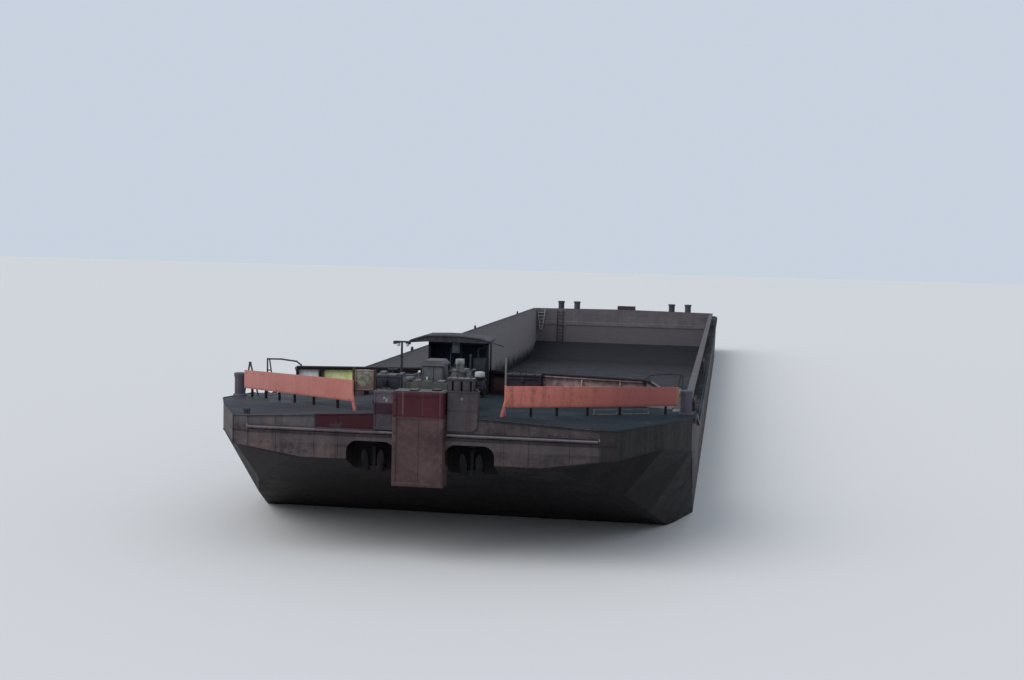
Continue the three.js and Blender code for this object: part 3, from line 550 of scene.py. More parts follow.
maroon_paint = weathered(
    "maroon_casting", (0.047, 0.0100, 0.0150), (0.066, 0.017, 0.023), rust=0.25, finish=block_finish
)
dress(maroon_paint, "bow_coupling_block", "stern_coupling_block", "bow_chest_starboard")
faces = [
    bar((-78, -33, 334), (-66, -29, 614)), bar((64, -33, 334), (76, -29, 614)),
    bar((-66, -32, 602), (64, -29, 613)), bar((-66, -32, 534), (64, -29, 542)),
    bar((-66, -32, 334), (64, -29, 344)), bar((-2, -31.5, 344), (2, -29, 534), 0.6),
    bar((-76, -26, 614), (74, 44, 617), 1.5),
    bar((-30, -20, 616), (-6, 20, 621)), bar((34, 4, 616), (60, 30, 622)),
]
for x in (-71, 70):
    faces += copied(rod((x, -35.5, 350), (x, -32, 350), 3.2, 6), *[(0, 0, up) for up in range(48, 241, 48)])
joined("bow_block_bars", faces, maroon_paint)
chest_trim = [
    bar((-143.5, -9.5, 604), (-78.6, 39.5, 612)), bar((-141, -10, 497), (-136, -7, 604)),
    bar((-84, -10, 497), (-79.6, -7, 604)), bar((-136, -9.5, 548), (-84, -7, 553)),
    tube([(-122, 15, 611), (-122, 15, 618), (-98, 15, 618), (-98, 15, 611)], 1.8),
]
chest_bolt = rod((-138, 4, 611), (-138, 4, 614.5), 2.4, 6)
chest_trim += copied(chest_bolt, (0, 14, 0), (0, 28, 0), (55, 0, 0), (55, 14, 0), (55, 28, 0))
joined("bow_chest_trim", chest_trim, maroon_paint)


# Guide housing.
# A rope guide folded from plate, with rollers behind three slots and a bolted cover.
def housing_finish(coat):
    """A worn pale top and a pale fitting on the front."""
    top = coat.nz.rise(0.5, 0.8) * coat.z.rise(0.650, 0.652)
    worn = coat.grain(fine=0.5, middle=0.5).rise(0.4, 0.6).mixed((0.055, 0.055, 0.058), (0.21, 0.21, 0.205))
    coat.lay(top * 0.9, worn)
    fitting = coat.z.band(0.590, 0.602, 0.001) * coat.y.fall(-4.2575, -4.2565)
    coat.lay(fitting * 0.6, (0.17, 0.165, 0.17))


housing_paint = weathered(
    "housing_grey_brown", (0.046, 0.038, 0.043), (0.084, 0.071, 0.079),
    rust=0.35, streaks=0.6, finish=housing_finish,
)
dress(housing_paint, "bow_guide_port", "windlass_bed")
guide_trim = [
    bar((82, -9, 653), (163, 31.5, 659)), bar((83, -8.5, 616), (176.5, -5, 620)),
    bar((84, -7.5, 560), (175, -5.5, 562)), bar((160, -8, 617), (176.5, 31.5, 621)),
    bar((103, -7.5, 623), (122, -4, 651), 1.5), bar((130, -7.5, 623), (150, -4, 651), 1.5),
]
cover_bolt = rod((92, 2, 657), (92, 2, 662), 2.6, 6)
guide_trim += copied(cover_bolt, (20, 0, 0), (40, 0, 0), (60, 0, 0), (0, 21, 0), (20, 21, 0), (60, 21, 0))
guide_trim += [rod((x, 12, 618), (x, 12, 653), 4.2) for x in (99, 126, 154)]
guide_trim.append(turned((128, -6, 597), (0, -1, 0), [(0, 5), (2, 5), (3, 3), (4, 1.5)], 12))
guide_trim.append(bar((163, 2, 620), (173, 20, 627), 1.5))
joined("guide_housing_trim", guide_trim, housing_paint)


# Anchors.
# Stockless cast anchors stowed in the bow recesses, their shanks drawn up into the hawse pipes.
def fluke(x, lean):
    """One arm of an anchor: it leaves the crown thick and ends in a flat palm with a point."""
    bpy.ops.object.select_all(action="DESELECT")
    bpy.ops.mesh.primitive_cube_add(size=1, location=spot(x, 46, 371), scale=(0.020, 0.024, 0.022))
    bpy.ops.object.transform_apply()
    for dy, dz, wide, thick in ((-7, 14, 1.15, 0.75), (-5, 16, 0.9, 0.65), (-2, 16, 0.35, 0.5)):
        pick(lambda face: face.normal.z > 0.7)
        push = {"value": (lean / 1000, dy / 1000, dz / 1000)}
        bpy.ops.mesh.extrude_region_move(TRANSFORM_OT_translate=push)
        work = bmesh.from_edit_mesh(bpy.context.object.data)
        top = [face for face in work.faces if face.select][0].calc_center_median()
        bpy.ops.transform.resize(value=(wide, thick, 1), center_override=top)
        bpy.ops.object.mode_set(mode="OBJECT")
    bpy.ops.object.mode_set(mode="EDIT")
    bpy.ops.mesh.select_all(action="SELECT")
    bpy.ops.mesh.bevel(offset=0.0018, segments=2, affect="EDGES")
    bpy.ops.object.mode_set(mode="OBJECT")
    return bpy.context.object


cast_paint = weathered(
    "cast_steel_black", (0.0035, 0.0035, 0.006), (0.008, 0.008, 0.011), rust=0.06, bump=0.5
)
for side, x in (("port", 152.5), ("starboard", -152.5)):
    parts = [
        fluke(x - 23, -1), fluke(x + 23, 1),
        bar((x - 36, 42, 358), (x + 36, 62, 377), 4), rod((x - 38, 52, 368), (x + 38, 52, 368), 7.5, 14),
        bar((x - 6.5, 45, 362), (x + 6.5, 59, 438), 2.5), rod((x - 11, 52, 436), (x + 11, 52, 436), 3.4, 10),
        turned((x, 52, 457), (0, 0, -1), [(0, 15), (4, 16.5), (9, 16.5), (13, 12.5), (13.5, 10), (2, 9)]),
    ]
    joined(f"stowed_anchor_{side}", parts, cast_paint, replaces=[f"anchor_{side}"])


# Coamings.
# Tall rolled plate round the hold with a turned flange on top and brackets outside, rusted brown all over.
# Moss and a pale patch show on the fore coaming.
def coaming_finish(coat):
    """Fore flange in painted shade, paler side flange, bright rust to port, and moss and a pale patch to
    starboard.
    """
    up = coat.nz.rise(0.5, 0.8)
    fore = coat.y.fall(-3.449, -3.447)
    port_panel = coat.x.band(0.270, 0.618, 0.01)
    # Painted shade: the top of the fore flange is painted near black; the side flange is paler.
    flange = (coat.x.rise(0.5, 0.7) * (1 - fore)).mixed((0.030, 0.026, 0.030), (0.105, 0.100, 0.110))
    coat.lay(up * 0.85, flange)
    # Painted shade: the front rim of the fore flange is painted near black.
    rim = fore * coat.y.fall(-3.4735, -3.4725) * (1 - port_panel * coat.y.rise(-3.4767, -3.4763))
    coat.lay(rim * 0.8, (0.022, 0.020, 0.024))
    aft_face = fore * coat.ny.rise(0.4, 0.7)
    front = fore * (1 - up) * (1 - rim) * (1 - aft_face)
    coat.lay(front * coat.x.band(-0.40, -0.13, 0.03) * 0.85, (0.175, 0.172, 0.188))
    moss = front * coat.x.band(-0.532, -0.418, 0.006) * coat.grain(middle=0.6, fine=0.4).rise(0.34, 0.44)
    coat.lay(moss * 0.94, coat.fine.rise(0.42, 0.62).mixed((0.80, 0.86, 0.33), (0.98, 0.98, 0.62)))
    pale = front * coat.x.band(-0.640, -0.552, 0.006) * coat.fine.rise(0.28, 0.42)
    pale = pale * coat.nx.span().fall(0.4, 0.7)
    coat.lay(pale * 0.96, coat.fine.rise(0.4, 0.6).mixed((0.80, 0.85, 0.79), (0.94, 0.95, 0.91)))
    bright = front * port_panel * coat.grain(middle=0.5, fine=0.5).rise(0.20, 0.42)
    bright = bright * (1 - coat.x.rise(0.42, 0.48) * 0.35)
    flaked = coat.grain(fine=0.6, runs=0.4).rise(0.36, 0.64)
    coat.lay(bright * 0.95, flaked.mixed((0.33, 0.205, 0.195), (0.62, 0.46, 0.43)))
    box_side = front * coat.x.band(0.092, 0.134, 0.003) * coat.z.band(0.540, 0.585, 0.006)
    coat.lay(box_side * 0.8, (0.13, 0.078, 0.080))
    shade = front * coat.z.rise(0.572, 0.590) * (1 - moss) * (1 - pale) * (1 - bright)
    coat.lay(shade * 0.55, GRIME_AND_SHADE)
    inner = ((coat.x * coat.x).fall(0.558, 0.559) * (1 - fore) + aft_face) * (1 - up)
    coat.lay(inner * 0.9, hold_wall(coat))
    coat.roughness = coat.roughness + up * 0.1


rusty_paint = weathered(
    "coaming_rust_brown", (0.052, 0.034, 0.036), (0.082, 0.054, 0.052),
    rust=0.6, streaks=0.8, finish=coaming_finish,
)
dress(
    rusty_paint,
    "coaming_fore", "coaming_aft", "coaming_port", "coaming_starboard",
    "coaming_ramp_port", "coaming_ramp_starboard",
)
beads = []
for side in (1, -1):
    beads.append(tube([(side * 771, 1300, 453), (side * 771, 8022, 453)], 3.2))
    beads.append(tube([(side * 638, 800, 591), (side * 771, 1300, 453)], 3.2))
beads.append(tube([(-630, 774, 595), (0, 774, 610), (630, 774, 595)], 4.3))
beads.append(tube([(-760, 8026, 452), (0, 8026, 460), (760, 8026, 452)], 3.2))
beads += [bar((x - 14, 784, 520), (x + 14, 790.5, 560), 1.5) for x in (-600, -340, -205, 330, 470, 600)]
beads += [bar((x - 3, 774, 520), (x + 3, 791, 588)) for x in (-630, -545, -420)]
for y in range(1700, 8000, 900):
    for side in (1, -1):
        hoop = [(side * 757, y - 22), (side * 770, y - 22), (side * 770, y + 22), (side * 757, y + 22)]
        beads.append(rod((side * 757, y, 430), (side * 776, y, 430), 2.4, 8))
        beads.append(tube([(*corner, 424) for corner in hoop], 2))
joined("coaming_trim", beads, rusty_paint)

# Ladders.
# Two ladders hang in the hold, a rusty steel one aft and a pale one in the corner. A light boarding ladder
# lies on its edge behind the port name board.
rung_paint = weathered("ladder_dark_rust", (0.030, 0.019, 0.020), (0.055, 0.036, 0.035), rust=0.5)
dress(rung_paint, "hold_ladder_aft")
rope_paint = weathered("ladder_pale_rope", (0.32, 0.32, 0.27), (0.48, 0.48, 0.42), rust=0.1, streaks=0.1)
dress(rope_paint, "hold_ladder_corner")
boarding_paint = weathered(
    "boarding_ladder_grey", (0.165, 0.175, 0.172), (0.25, 0.26, 0.25), rust=0.1, streaks=0.2
)
dress(boarding_paint, "deck_ladder")


# Name boards.
# Two boards of thin plate painted coral red, stiffened behind with flat bars and held on struts. They are
# left blank.
def board_finish(coat):
    """Deeper red outboard to port, faded red outboard to starboard, and bare steel struts and pole."""
    even = coat.grain(middle=0.5, fine=0.5)
    coat.lay(coat.x.rise(0.28, 0.70) * 0.85, (0.262, 0.088, 0.084))
    chalked = even.rise(0.35, 0.65).mixed((0.405, 0.150, 0.122), (0.480, 0.195, 0.168))
    coat.lay(coat.x.fall(-0.05, 0.05) * 0.9, chalked)
    coat.lay(coat.x.fall(-0.75, -0.30) * 0.35, (0.46, 0.23, 0.21))
    coat.lay(coat.grain(fine=0.6, runs=0.4).rise(0.50, 0.62) * 0.3, (0.24, 0.105, 0.095))
    coat.lay(coat.x.rise(0.741, 0.743) * even.rise(0.3, 0.5) * 0.8, (0.26, 0.19, 0.085))
    above_edge = coat.z + 0.0511 * coat.x.span() - 0.5743
    coat.lay(above_edge.fall(0.0, 0.008) * 0.4, (0.09, 0.032, 0.03))
    support = above_edge.fall(-0.004, -0.001)
    outer = coat.x.span().rise(0.262, 0.268)
    coat.lay(support * outer * 0.97, (0.012, 0.010, 0.013))
    coat.lay(support * (1 - outer) * 0.7, (0.46, 0.18, 0.19))
    coat.lay(coat.z.rise(0.6285, 0.632), (0.15, 0.15, 0.135))


board_paint = weathered(
    "board_coral_red", (0.58, 0.168, 0.124), (0.66, 0.220, 0.170), rust=0.05, streaks=0.15, rough=(0.6, 0.8),
    finish=board_finish,
)
dress(board_paint, "name_board_port", "name_board_starboard")
BOARD_IN, BOARD_OUT = (240, 115), (749, 561)
BOARD_FOOT, BOARD_DROP = 562, 26
board_run = Vector((BOARD_OUT[0] - BOARD_IN[0], BOARD_OUT[1] - BOARD_IN[1])).normalized()


def on_board(t, up, out):
    """A point on the port board: t along it, up from its lower edge, out in front of its middle plane."""
    x = BOARD_IN[0] + t * (BOARD_OUT[0] - BOARD_IN[0]) + out * board_run.y
    y = BOARD_IN[1] + t * (BOARD_OUT[1] - BOARD_IN[1]) - out * board_run.x
    return (x, y, BOARD_FOOT - BOARD_DROP * t + up)


stays = [tube([on_board(0.01, up, -5), on_board(0.99, up, -5)], 3, 1) for up in (9, 52)]
for t in (0.03, 0.148, 0.324, 0.5, 0.678, 0.82, 0.904, 0.98):
    stays.append(tube([on_board(t, 3, -4.5), on_board(t, 60, -4.5)], 2.4, 1))
    stays += [rod(on_board(t, up, 2), on_board(t, up, 4.4), 2.3, 6) for up in (7, 55)]
joined("name_board_stays", both_sides(*stays), board_paint)

# Bollards.
# Cast posts on doubler plates, welded to the deck, with domed caps wider than the posts.
UPWARD = (0, 0, 1)
bollard_paint = weathered("bollard_blue_grey", (0.048, 0.046, 0.062), (0.098, 0.093, 0.124), rust=0.1)
dress(
    bollard_paint,
    "bow_bollard_port", "bow_bollard_starboard", "stern_bollards_port", "stern_bollards_starboard",
)
caps = []
for x, y, z, wide in ((775, 585, 580, 21), (415, 8200, 508, 30), (555, 8200, 508, 30)):
    dome = [(0, wide), (2, wide + 0.6), (5, wide - 0.5), (6.5, wide - 4), (7, wide * 0.3)]
    caps.append(turned((x, y, z), UPWARD, dome))
caps.append(turned((775, 585, 504), UPWARD, [(0, 24.5), (5, 24.5), (8, 22), (9, 19)]))
for x in (415, 555):
    caps.append(turned((x, 8200, 428), UPWARD, [(0, 33), (4, 33), (8, 28), (9, 26.5)]))
joined("bollard_caps", both_sides(*caps), bollard_paint)

# Corner fairleads.
# Small cast rollers on plates at the corners of the bow: a tall one to starboard and a low one to port.
steel_paint = weathered("deck_steel", (0.034, 0.032, 0.040), (0.074, 0.068, 0.082), rust=0.1)
lugs = [
    bar((-561, 8, 512), (-537, 26, 522), 1.5),
    rod((-556, 17, 518), (-556, 17, 538), 3.6, 10), rod((-542, 17, 518), (-542, 17, 538), 3.6, 10),
    turned((-549, 17, 521), UPWARD, [(0, 5), (2, 5), (3, 3.5), (12, 3.5), (13, 5), (15, 5)], 14),
    bar((-561, 11, 535), (-539, 23, 539)), bar((505, 8, 512), (526, 24, 519), 1.5),
    turned((515, 16, 518), UPWARD, [(0, 5), (2, 5), (3, 3.5), (6, 3.5), (7, 4.5), (8, 4.5)], 14),
]
joined("corner_fairleads", lugs, steel_paint)


# Deck vents.
# Mushroom vents of cast and rolled steel with turned caps: a pale one to port, and a white one on a dark
# stem amidships.
def middle_vent_finish(coat):
    """A white cap on a dark stem."""
    coat.lay(coat.z.fall(0.606, 0.611) * 0.6, (0.20, 0.19, 0.11))
    coat.lay(coat.z.fall(0.600, 0.604), (0.015, 0.015, 0.017))


pale_steel = weathered("pale_steel", (0.16, 0.17, 0.17), (0.24, 0.25, 0.25), rust=0.35)
dress(pale_steel, "deck_vent_port")
vent = [
    turned((742, 700, 560), UPWARD, [(0, 17), (2, 19), (9, 18), (15, 13), (19, 6), (20, 2)]),
    turned((742, 700, 500), UPWARD, [(0, 16), (5, 16), (7, 12), (8, 10)]),
]
joined("vent_cap_port", vent, pale_steel)
middle_vent_paint = weathered(
    "vent_white_and_black", (0.42, 0.43, 0.41), (0.60, 0.61, 0.59),
    rust=0.1, streaks=0.3, finish=middle_vent_finish,
)
dress(middle_vent_paint, "deck_vent_middle")
vent = [
    turned((72, 605, 602), UPWARD, [(0, 15.5), (1, 17.8), (14, 17.4), (17, 15.8), (18.5, 11), (19.5, 3)]),
    turned((72, 605, 528), UPWARD, [(0, 19), (8, 19), (10, 15), (12, 14.4)]),
    bar((84, 596, 540), (97, 612, 594), 2),
]
joined("vent_cap_middle", vent, middle_vent_paint)


# Windlass.
# A geared windlass on a plate bed: two chain wheels with cast whelps, two rope drums on the ends of the
# shaft, band brakes with hand wheels, and the chains that go down to the deck pipes.
def windlass_finish(coat):
    """The port rope drum is black with grease."""
    coat.lay(coat.x.rise(0.114, 0.120) * 0.85, (0.006, 0.005, 0.008))


SHAFT_Y, SHAFT_Z = 225, 606
BRAKE_Y, BRAKE_TOP = 262, 652
windlass_paint = weathered(
    "windlass_dark", (0.034, 0.035, 0.041), (0.085, 0.084, 0.092), bump=0.5, finish=windlass_finish
)
dress(windlass_paint, "windlass_shaft")
whelps = []
for left, right, wide in ((-164, -134, 22), (68, 98, 22), (-214, -196, 17), (130, 148, 17)):
    for step in range(8):
        turn = step * pi / 4
        y, z = SHAFT_Y + wide * cos(turn), SHAFT_Z + wide * sin(turn)
        whelps.append(rod((left, y, z), (right, y, z), 3.4, 8))
SHAFT_RINGS = [
    ((-170.5, -132.5, 61.5, 99.5), [(0, 31), (1.5, 34), (3.5, 34), (5, 31)], 28),
    ((-223, -194, 124, 150), [(0, 22), (1.5, 25), (3, 25), (4.5, 20)], 24),
    ((-224, 152), [(0, 8), (1, 12), (4, 12), (6, 7)], 16),
]
for places, rings, sides in SHAFT_RINGS:
    whelps += [turned((x, SHAFT_Y, SHAFT_Z), (1, 0, 0), rings, sides) for x in places]
joined("windlass_whelps", whelps, windlass_paint, body="windlass_shaft")
gear = []
for x in (-178, -118, 52, 112):
    gear += [bar((x - 8, 203, 556), (x + 8, 247, 562)), bar((x - 7, 212, 620), (x + 7, 238, 626), 1.5)]
    gear += copied(rod((x, 208, 560), (x, 208, 566), 2.4, 6), (0, 34, 0))
    gear += copied(rod((x, 216, 624), (x, 216, 630), 2.2, 6), (0, 18, 0))
gear += [bar((-196, 186, 548), (130, 192, 560)), bar((-196, 258, 548), (130, 264, 560))]
gear += [bar((-184, 188, 590), (-104, 191, 636)), bar((-186, 186, 632), (-102, 190, 639))]
for x in (-149, 83):
    bend = [radians(degrees) for degrees in range(-30, 211, 15)]
    gear.append(tube([(x - 19, SHAFT_Y + 38 * cos(a), SHAFT_Z + 38 * sin(a)) for a in bend], 2.2, 1))
    gear.append(rod((x, BRAKE_Y, 560), (x, BRAKE_Y, 650), 3.2, 10))
    wheel = [radians(degrees) for degrees in range(0, 360, 24)]
    gear.append(tube([(x + 15 * cos(a), BRAKE_Y + 15 * sin(a), BRAKE_TOP) for a in wheel], 1.8, closed=True))
    gear.append(rod((x - 14, BRAKE_Y, BRAKE_TOP), (x + 14, BRAKE_Y, BRAKE_TOP), 1.5, 8))
    gear.append(rod((x, BRAKE_Y - 14, BRAKE_TOP), (x, BRAKE_Y + 14, BRAKE_TOP), 1.5, 8))
    gear.append(turned((x, 120, 540), UPWARD, [(0, 20), (12, 20), (16, 17), (18, 13)]))
joined("windlass_gear", gear, windlass_paint)
panel_paint = weathered("guard_panel_slate", (0.030, 0.030, 0.040), (0.050, 0.050, 0.060), rust=0.2)
panels = [bar((-167, 185.5, 594), (-142, 188.5, 629), 1.2), bar((-136, 185.5, 594), (-110, 188.5, 629), 1.2)]
joined("windlass_guard_panels", panels, panel_paint)
cover_paint = weathered(
    "windlass_cover_grey", (0.105, 0.105, 0.118), (0.190, 0.190, 0.205), rust=0.35, streaks=0.3
)
covers = [
    bar((-184, 192, 638), (-122, 236, 642), 1.5), bar((-176, 196, 642), (-158, 228, 650), 2),
    bar((-116, 200, 640), (-104, 240, 646), 1.5), bar((-98, 206, 624), (-72, 240, 634), 2),
    bar((-62, 202, 621), (-44, 220, 628), 1.5), bar((8, 204, 621), (30, 236, 627), 1.5),
]
joined("windlass_covers", covers, cover_paint)
olive_grey = weathered("casing_olive_grey", (0.058, 0.062, 0.057), (0.100, 0.102, 0.094))
casing = [
    bar((-106, 196, 556), (48, 199, 618)), bar((-106, 196, 616), (48, 252, 620), 1.2),
    bar((-106, 249, 580), (48, 252, 618)), bar((-100, 192, 560), (-94, 198, 622)),
    bar((36, 192, 560), (42, 198, 622)), bar((-40, 200, 619), (-10, 244, 624), 1.5),
]
casing_bolt = rod((-84, 214, 619), (-84, 214, 624), 2.6, 6)
casing += copied(casing_bolt, (36, 0, 0), (88, 0, 0), (116, 0, 0), (0, 24, 0), (88, 24, 0), (116, 24, 0))
joined("windlass_casing", casing, olive_grey)


def link(centre, along, flat):
    """One oval chain link round centre, long along one direction and lying in the plane of the other."""
    ring = []
    for k in range(12):
        turn = k * pi / 6
        ring.append(centre + along * (8.5 * cos(turn)) + flat * (4.6 * sin(turn)))
    return tube(ring, 1.9, closed=True)


LINK_STEP = 13
for side, x in (("starboard", -149), ("port", 83)):
    start, end = Vector((x, 206, 640)), Vector((x, 122, 556))
    run = end - start
    steps = int(run.length // LINK_STEP)
    across = Vector((1, 0, 0))
    lift = run.normalized().cross(across)
    links = []
    for k in range(steps):
        centre = start + run * ((k + 0.5) / steps)
        links.append(link(centre, run.normalized(), across if k % 2 else lift))
    joined(f"anchor_chain_{side}", links, cast_paint)

# Windlass gearcase and control cabinet.
# The gearcase is cast in two halves that are bolted together, with a pale switch box on top. The cabinet is
# bent sheet with a hinged door, a white lamp and one short cable.
cabinet_paint = weathered(
    "cabinet_grey_green", (0.096, 0.098, 0.102), (0.145, 0.147, 0.150), rust=0.25, streaks=0.5
)
dress(cabinet_paint, "windlass_gearcase", "windlass_cabinet")
case_trim = [
    bar((28, 262, 608), (108, 338, 614), 1.5), bar((26, 262, 548), (110, 338, 554), 1.5),
    bar((44, 263, 653), (86, 337, 657), 1.2),
    turned((68, 264, 580), (0, -1, 0), [(0, 22), (4, 22), (6, 18), (9, 16), (9.5, 6), (14, 6)]),
]
case_bolt = rod((33, 263, 604), (33, 263, 619), 2.2, 6)
case_trim += copied(case_bolt, (18, 0, 0), (36, 0, 0), (54, 0, 0), (70, 0, 0))
case_trim.append(tube([(98, 300, 624), (98, 300, 650), (102, 300, 656), (112, 300, 657)], 3, 3))
case_trim.append(turned((44, 300, 640), (-0.5, 0, 1), [(0, 7), (10, 7), (12, 9), (16, 9), (18, 5)], 14))
joined("gearcase_trim", case_trim, cabinet_paint)
box_paint = weathered("switch_box_pale", (0.22, 0.23, 0.24), (0.35, 0.36, 0.36), rust=0.2)
switch_box = [
    bar((53, 264.5, 675), (77, 293, 691), 1.5), bar((56, 262.5, 678), (74, 265, 688)),
    rod((65, 260, 683), (65, 263, 683), 2, 10),
]
joined("gearcase_switch_box", switch_box, box_paint)
door = [
    bar((-53, 269, 566), (-19, 273, 664), 1.2), bar((-17, 269.5, 566), (10, 273, 664), 1.2),
    bar((-57, 268, 556), (13, 273, 561), 0.8), rod((-22, 264, 622), (-22, 270, 622), 2.5, 10),
    bar((-24, 263, 612), (-20, 266, 632), 0.8), rod((-53, 269, 580), (-53, 269, 594), 2.4, 8),
    rod((-53, 269, 640), (-53, 269, 654), 2.4, 8), bar((-64, 264, 666), (19, 267, 670), 0.8),
    bar((-66, 348, 664), (21, 352, 672)),
]
joined("cabinet_door", door, cabinet_paint)
white_paint = weathered("lamp_white", (0.60, 0.61, 0.58), (0.80, 0.81, 0.78), rust=0.05, streaks=0.1)
knobs = [
    bar((-41, 264, 620), (-36, 269, 631)),
    turned((-64, 258, 643), (0.5, -0.3, 1), [(0, 3), (2, 4.4), (7, 4.4), (9, 2.5)], 12),
]
joined("cabinet_lamps", knobs, white_paint)
cable = [
    tube([(-64, 258, 645), (-72, 256, 640), (-86, 254, 637), (-106, 253, 638)], 1.5),
    rod((-64, 260, 556), (-64, 259, 646), 1.6, 8),
]
joined("cabinet_cable", cable, pale_steel)


# Shelter.
# An open-fronted deck house of thin plate on angle posts, with a small engine and a hanging box inside.
def shelter_finish(coat):
    """Soot black inside."""
    inside = coat.y.rise(-3.5545, -3.5535) * coat.x.band(-0.1185, 0.080, 0.0004) * coat.z.fall(0.711, 0.7115)
    inside = inside * coat.ny.fall(0.4, 0.7)
    coat.lay(inside * 0.9, (0.017, 0.021, 0.036))
    coat.roughness = coat.roughness + inside * 0.2


shelter_paint = weathered(
    "shelter_dark_blue", (0.008, 0.009, 0.014), (0.018, 0.018, 0.023), rust=0.15, finish=shelter_finish
)
dress(shelter_paint, "shelter_walls")
posts = [
    bar((-127, 687, 536), (-119, 694, 713)), bar((79.5, 687, 536), (86.8, 694, 713)),
    bar((79, 764, 536), (84, 769, 713)), bar((-126, 687, 704), (88, 691, 713)),
    bar((-127, 730, 548), (-124, 736, 708)), bar((-127, 692, 620), (-124, 766, 625)),
    bar((80, 692, 560), (84, 766, 564)),
]
joined("shelter_frame", posts, shelter_paint)
panel_grey = weathered("hanging_box_grey", (0.085, 0.094, 0.110), (0.120, 0.130, 0.148), rust=0.1)
hanging = [
    bar((-42, 686, 674), (-16, 691, 710), 1.2), bar((-38, 684.5, 680), (-20, 687, 704), 0.8),
    rod((-29, 683, 676), (-29, 686, 676), 1.6, 8),
    tube([(-30, 690, 712), (-30, 694, 700), (-48, 700, 690), (-52, 706, 640), (-52, 706, 604)], 1.6),
]
joined("shelter_switch_box", hanging, panel_grey)
engine_paint = weathered("engine_dark_green", (0.034, 0.042, 0.048), (0.070, 0.078, 0.082), rust=0.2)
dress(engine_paint, "shelter_engine")
EXHAUST = [(40, 650), (40, 682), (44, 690), (60, 692), (64, 698), (64, 706)]
motor = [
    bar((-66, 698, 602), (26, 752, 609), 3), bar((-50, 704, 608), (10, 746, 624), 3),
    bar((34, 699, 600), (74, 703, 650), 1.5),
    turned((54, 700, 576), (0, -1, 0), [(0, 20), (6, 20), (8, 17), (9, 8), (14, 7)], 22),
    tube([(x, 742, z) for x, z in EXHAUST], 3.6, 3),
    turned((-36, 726, 622), UPWARD, [(0, 8), (12, 8), (14, 5), (18, 5)], 14),
    turned((-6, 726, 622), UPWARD, [(0, 6), (8, 6), (10, 8), (13, 7)], 14),
]
joined("shelter_engine_parts", motor, engine_paint)
lever = [rod((24, 684, 540), (24, 684, 664), 2.8, 8), bar((21, 681, 660), (27, 687, 672))]
joined("shelter_lever", lever, olive_grey)


# Shelter roof.
# A thin cambered sheet that overhangs the walls, with a rolled edge all round and low ribs both ways.
def roof_finish(coat):
    """A brown fascia round a pale weathered top."""
    mottle = coat.grain(middle=0.5, fine=0.5).rise(0.4, 0.6)
    coat.lay(coat.nz.fall(0.3, 0.6), mottle.mixed((0.036, 0.033, 0.042), (0.068, 0.060, 0.072)))


roof_paint = weathered(
    "roof_pale_grey", (0.062, 0.063, 0.068), (0.115, 0.113, 0.120), rust=0.35, finish=roof_finish
)
dress(roof_paint, "shelter_roof")
ROOF_LINE = [(-190, 715), (-132, 734), (-66, 736), (0, 735), (60, 729), (92, 721)]
ribs = [tube([(x, y, z - 2.5) for x, z in ROOF_LINE], 2.4) for y in (665, 793)]
ribs += [tube([(x, y, z + 0.4) for x, z in ROOF_LINE], 1.5, 1) for y in (690, 716, 742, 768)]
ribs += [tube([(x, 666, z + 0.6), (x, 792, z + 0.6)], 1.1, 1) for x, z in ROOF_LINE[1:-1]]
ribs += [tube([(-189, 666, 712), (-189, 792, 712)], 2.6), tube([(91.5, 666, 719), (91.5, 792, 719)], 2.2)]
joined("roof_ribs", ribs, roof_paint)


# Store locker against the fore coaming.
# A deck box of plate with a lid on strap hinges and a hasp.
def locker_finish(coat):
    """Black dust on top."""
    coat.lay(coat.nz.rise(0.4, 0.8) * 0.9, (0.009, 0.008, 0.011))


locker_paint = weathered(
    "locker_dark_plum", (0.038, 0.029, 0.042), (0.070, 0.056, 0.072), rust=0.3, finish=locker_finish
)
dress(locker_paint, "locker_body", "locker_lid")
locker_trim = [
    bar((150, 686.5, 540), (267, 690.5, 546)), bar((150, 687, 590), (267, 690.5, 596)),
    bar((204, 687, 546), (208, 690.5, 590), 0.8), bar((150, 687, 546), (154, 690.5, 590), 0.8),
    bar((263, 687, 546), (267, 690.5, 590), 0.8), bar((202, 685.5, 580), (214, 689, 598)),
]
joined("locker_trim", locker_trim, locker_paint)
lid_trim = [
    bar((165, 692, 606.5), (173, 750, 609)), bar((244, 692, 606.5), (252, 750, 609)),
    tube([(198, 700, 607), (198, 700, 613), (218, 700, 613), (218, 700, 607)], 1.8),
]
joined("locker_lid_straps", lid_trim, locker_paint, body="locker_lid")


# Lamp mast and deck stands.
# A thin steel pipe with a cross tube that carries two bulkhead lamps, and two small welded stands beside it.
def stand_finish(coat):
    """A mossy panel between brown posts."""
    panel = coat.z.rise(0.594, 0.596) * coat.x.band(-0.239, -0.1785, 0.0005)
    moss = coat.grain(fine=0.6, middle=0.4).rise(0.42, 0.58).mixed((0.085, 0.085, 0.066), (0.27, 0.27, 0.19))
    moss = ((coat.z + coat.middle * 0.02).fall(0.615, 0.628) * 0.7).mixed(moss, (0.17, 0.098, 0.092))
    pale = coat.x.band(-0.212, -0.194, 0.004) * (coat.z + coat.fine * 0.008).rise(0.650, 0.656)
    coat.lay(panel * 0.9, (pale * 0.8).mixed(moss, (0.42, 0.43, 0.40)))


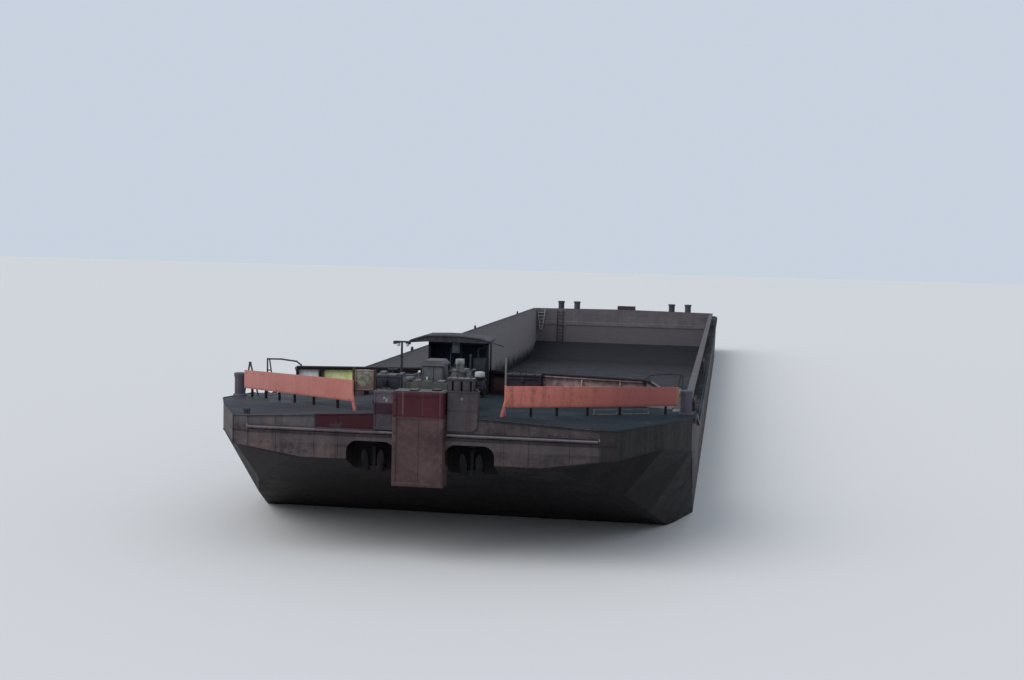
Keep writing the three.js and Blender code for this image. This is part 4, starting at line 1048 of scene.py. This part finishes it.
dress(steel_paint, "lamp_mast", "deck_stand_outer")
glasses, lamps = [], []
for x in (-166, -136):
    glasses.append(turned((x, 400, 727), (0, 0, -1), [(0, 4), (3, 5.5), (8, 6), (11, 4.5), (12, 1.5)], 14))
    lamps.append(turned((x, 400, 729), (0, 0, -1), [(0, 3), (1, 6.5), (3.5, 6.5), (4.5, 5)], 14))
joined("lamp_glasses", glasses, white_paint)
lamps.append(tube([(-154, 405, 548), (-154, 405, 640), (-154, 404.5, 726)], 1.2, 1))
lamps += copied(bar((-158, 394, 560), (-150, 407, 563), 0.8), (0, 0, 60), (0, 0, 120))
lamps += copied(rod((-162, 392, 546), (-162, 392, 552), 2, 6), (16, 0, 0), (0, 16, 0), (16, 16, 0))
joined("lamp_heads", lamps, steel_paint)
stand_paint = weathered(
    "stand_rust_brown", (0.050, 0.030, 0.028), (0.075, 0.045, 0.040), finish=stand_finish
)
dress(stand_paint, "deck_stand_inner")
frame_paint = weathered("stand_frame_pink", (0.20, 0.115, 0.105), (0.29, 0.18, 0.165), rust=0.3)
frame_bars = [
    bar((-238, 128.5, 655), (-179, 131.5, 658), 0.6), bar((-238, 128.5, 596), (-179, 131.5, 599.5), 0.8),
    bar((-238, 128.5, 599.5), (-235, 131.5, 655), 0.8), bar((-182, 128.5, 599.5), (-179, 131.5, 655), 0.8),
]
joined("stand_frame", frame_bars, frame_paint)


# Hatch lids.
# Flat steel lids held by four dogs with wing nuts, which lift on a pin behind.
def lid_parts(x, y, top):
    """Stiffener cross and dogs of one lid."""
    parts = [
        bar((x - 34, y - 3, top + 5), (x + 34, y + 3, top + 8.5)),
        bar((x - 3, y - 34, top + 5), (x + 3, y + 30, top + 8.5)),
    ]
    for dog_x in (x - 34, x + 34):
        for dog_y in (y - 26, y + 22):
            parts.append(rod((dog_x, dog_y, top + 4), (dog_x, dog_y, top + 13), 2.2, 8))
            parts.append(bar((dog_x - 7, dog_y - 1.4, top + 9), (dog_x + 7, dog_y + 1.4, top + 14), 0.8))
    return parts


HATCHES = [
    ("bow_hatch_lid_port", 370, 640), ("bow_hatch_lid_starboard", -370, 640), ("stern_hatch_lid", 0, 8290),
]
for hatch, x, y in HATCHES:
    dress(steel_paint, hatch)
    lid_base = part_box(hatch)[0][2] * 1000
    joined(f"{hatch}_dogs", lid_parts(x, y, lid_base + 1), steel_paint, body=hatch)

# Guard rails.
# Welded pipe rails beside the fore coaming, on turned feet and with a clamp.
dress(steel_paint, "guard_rail_port", "guard_rail_starboard")
feet = [turned((x, 815, z), UPWARD, [(0, 7), (3, 7), (6, 4.2)], 12) for x, z in ((754, 490), (726, 492))]
feet.append(turned((626, 815, 586), UPWARD, [(0, 6.5), (3, 6.5), (5, 4)], 12))
feet.append(rod((740, 815, 575), (757, 815, 575), 2.2, 8))
joined("rail_feet", both_sides(*feet), steel_paint)
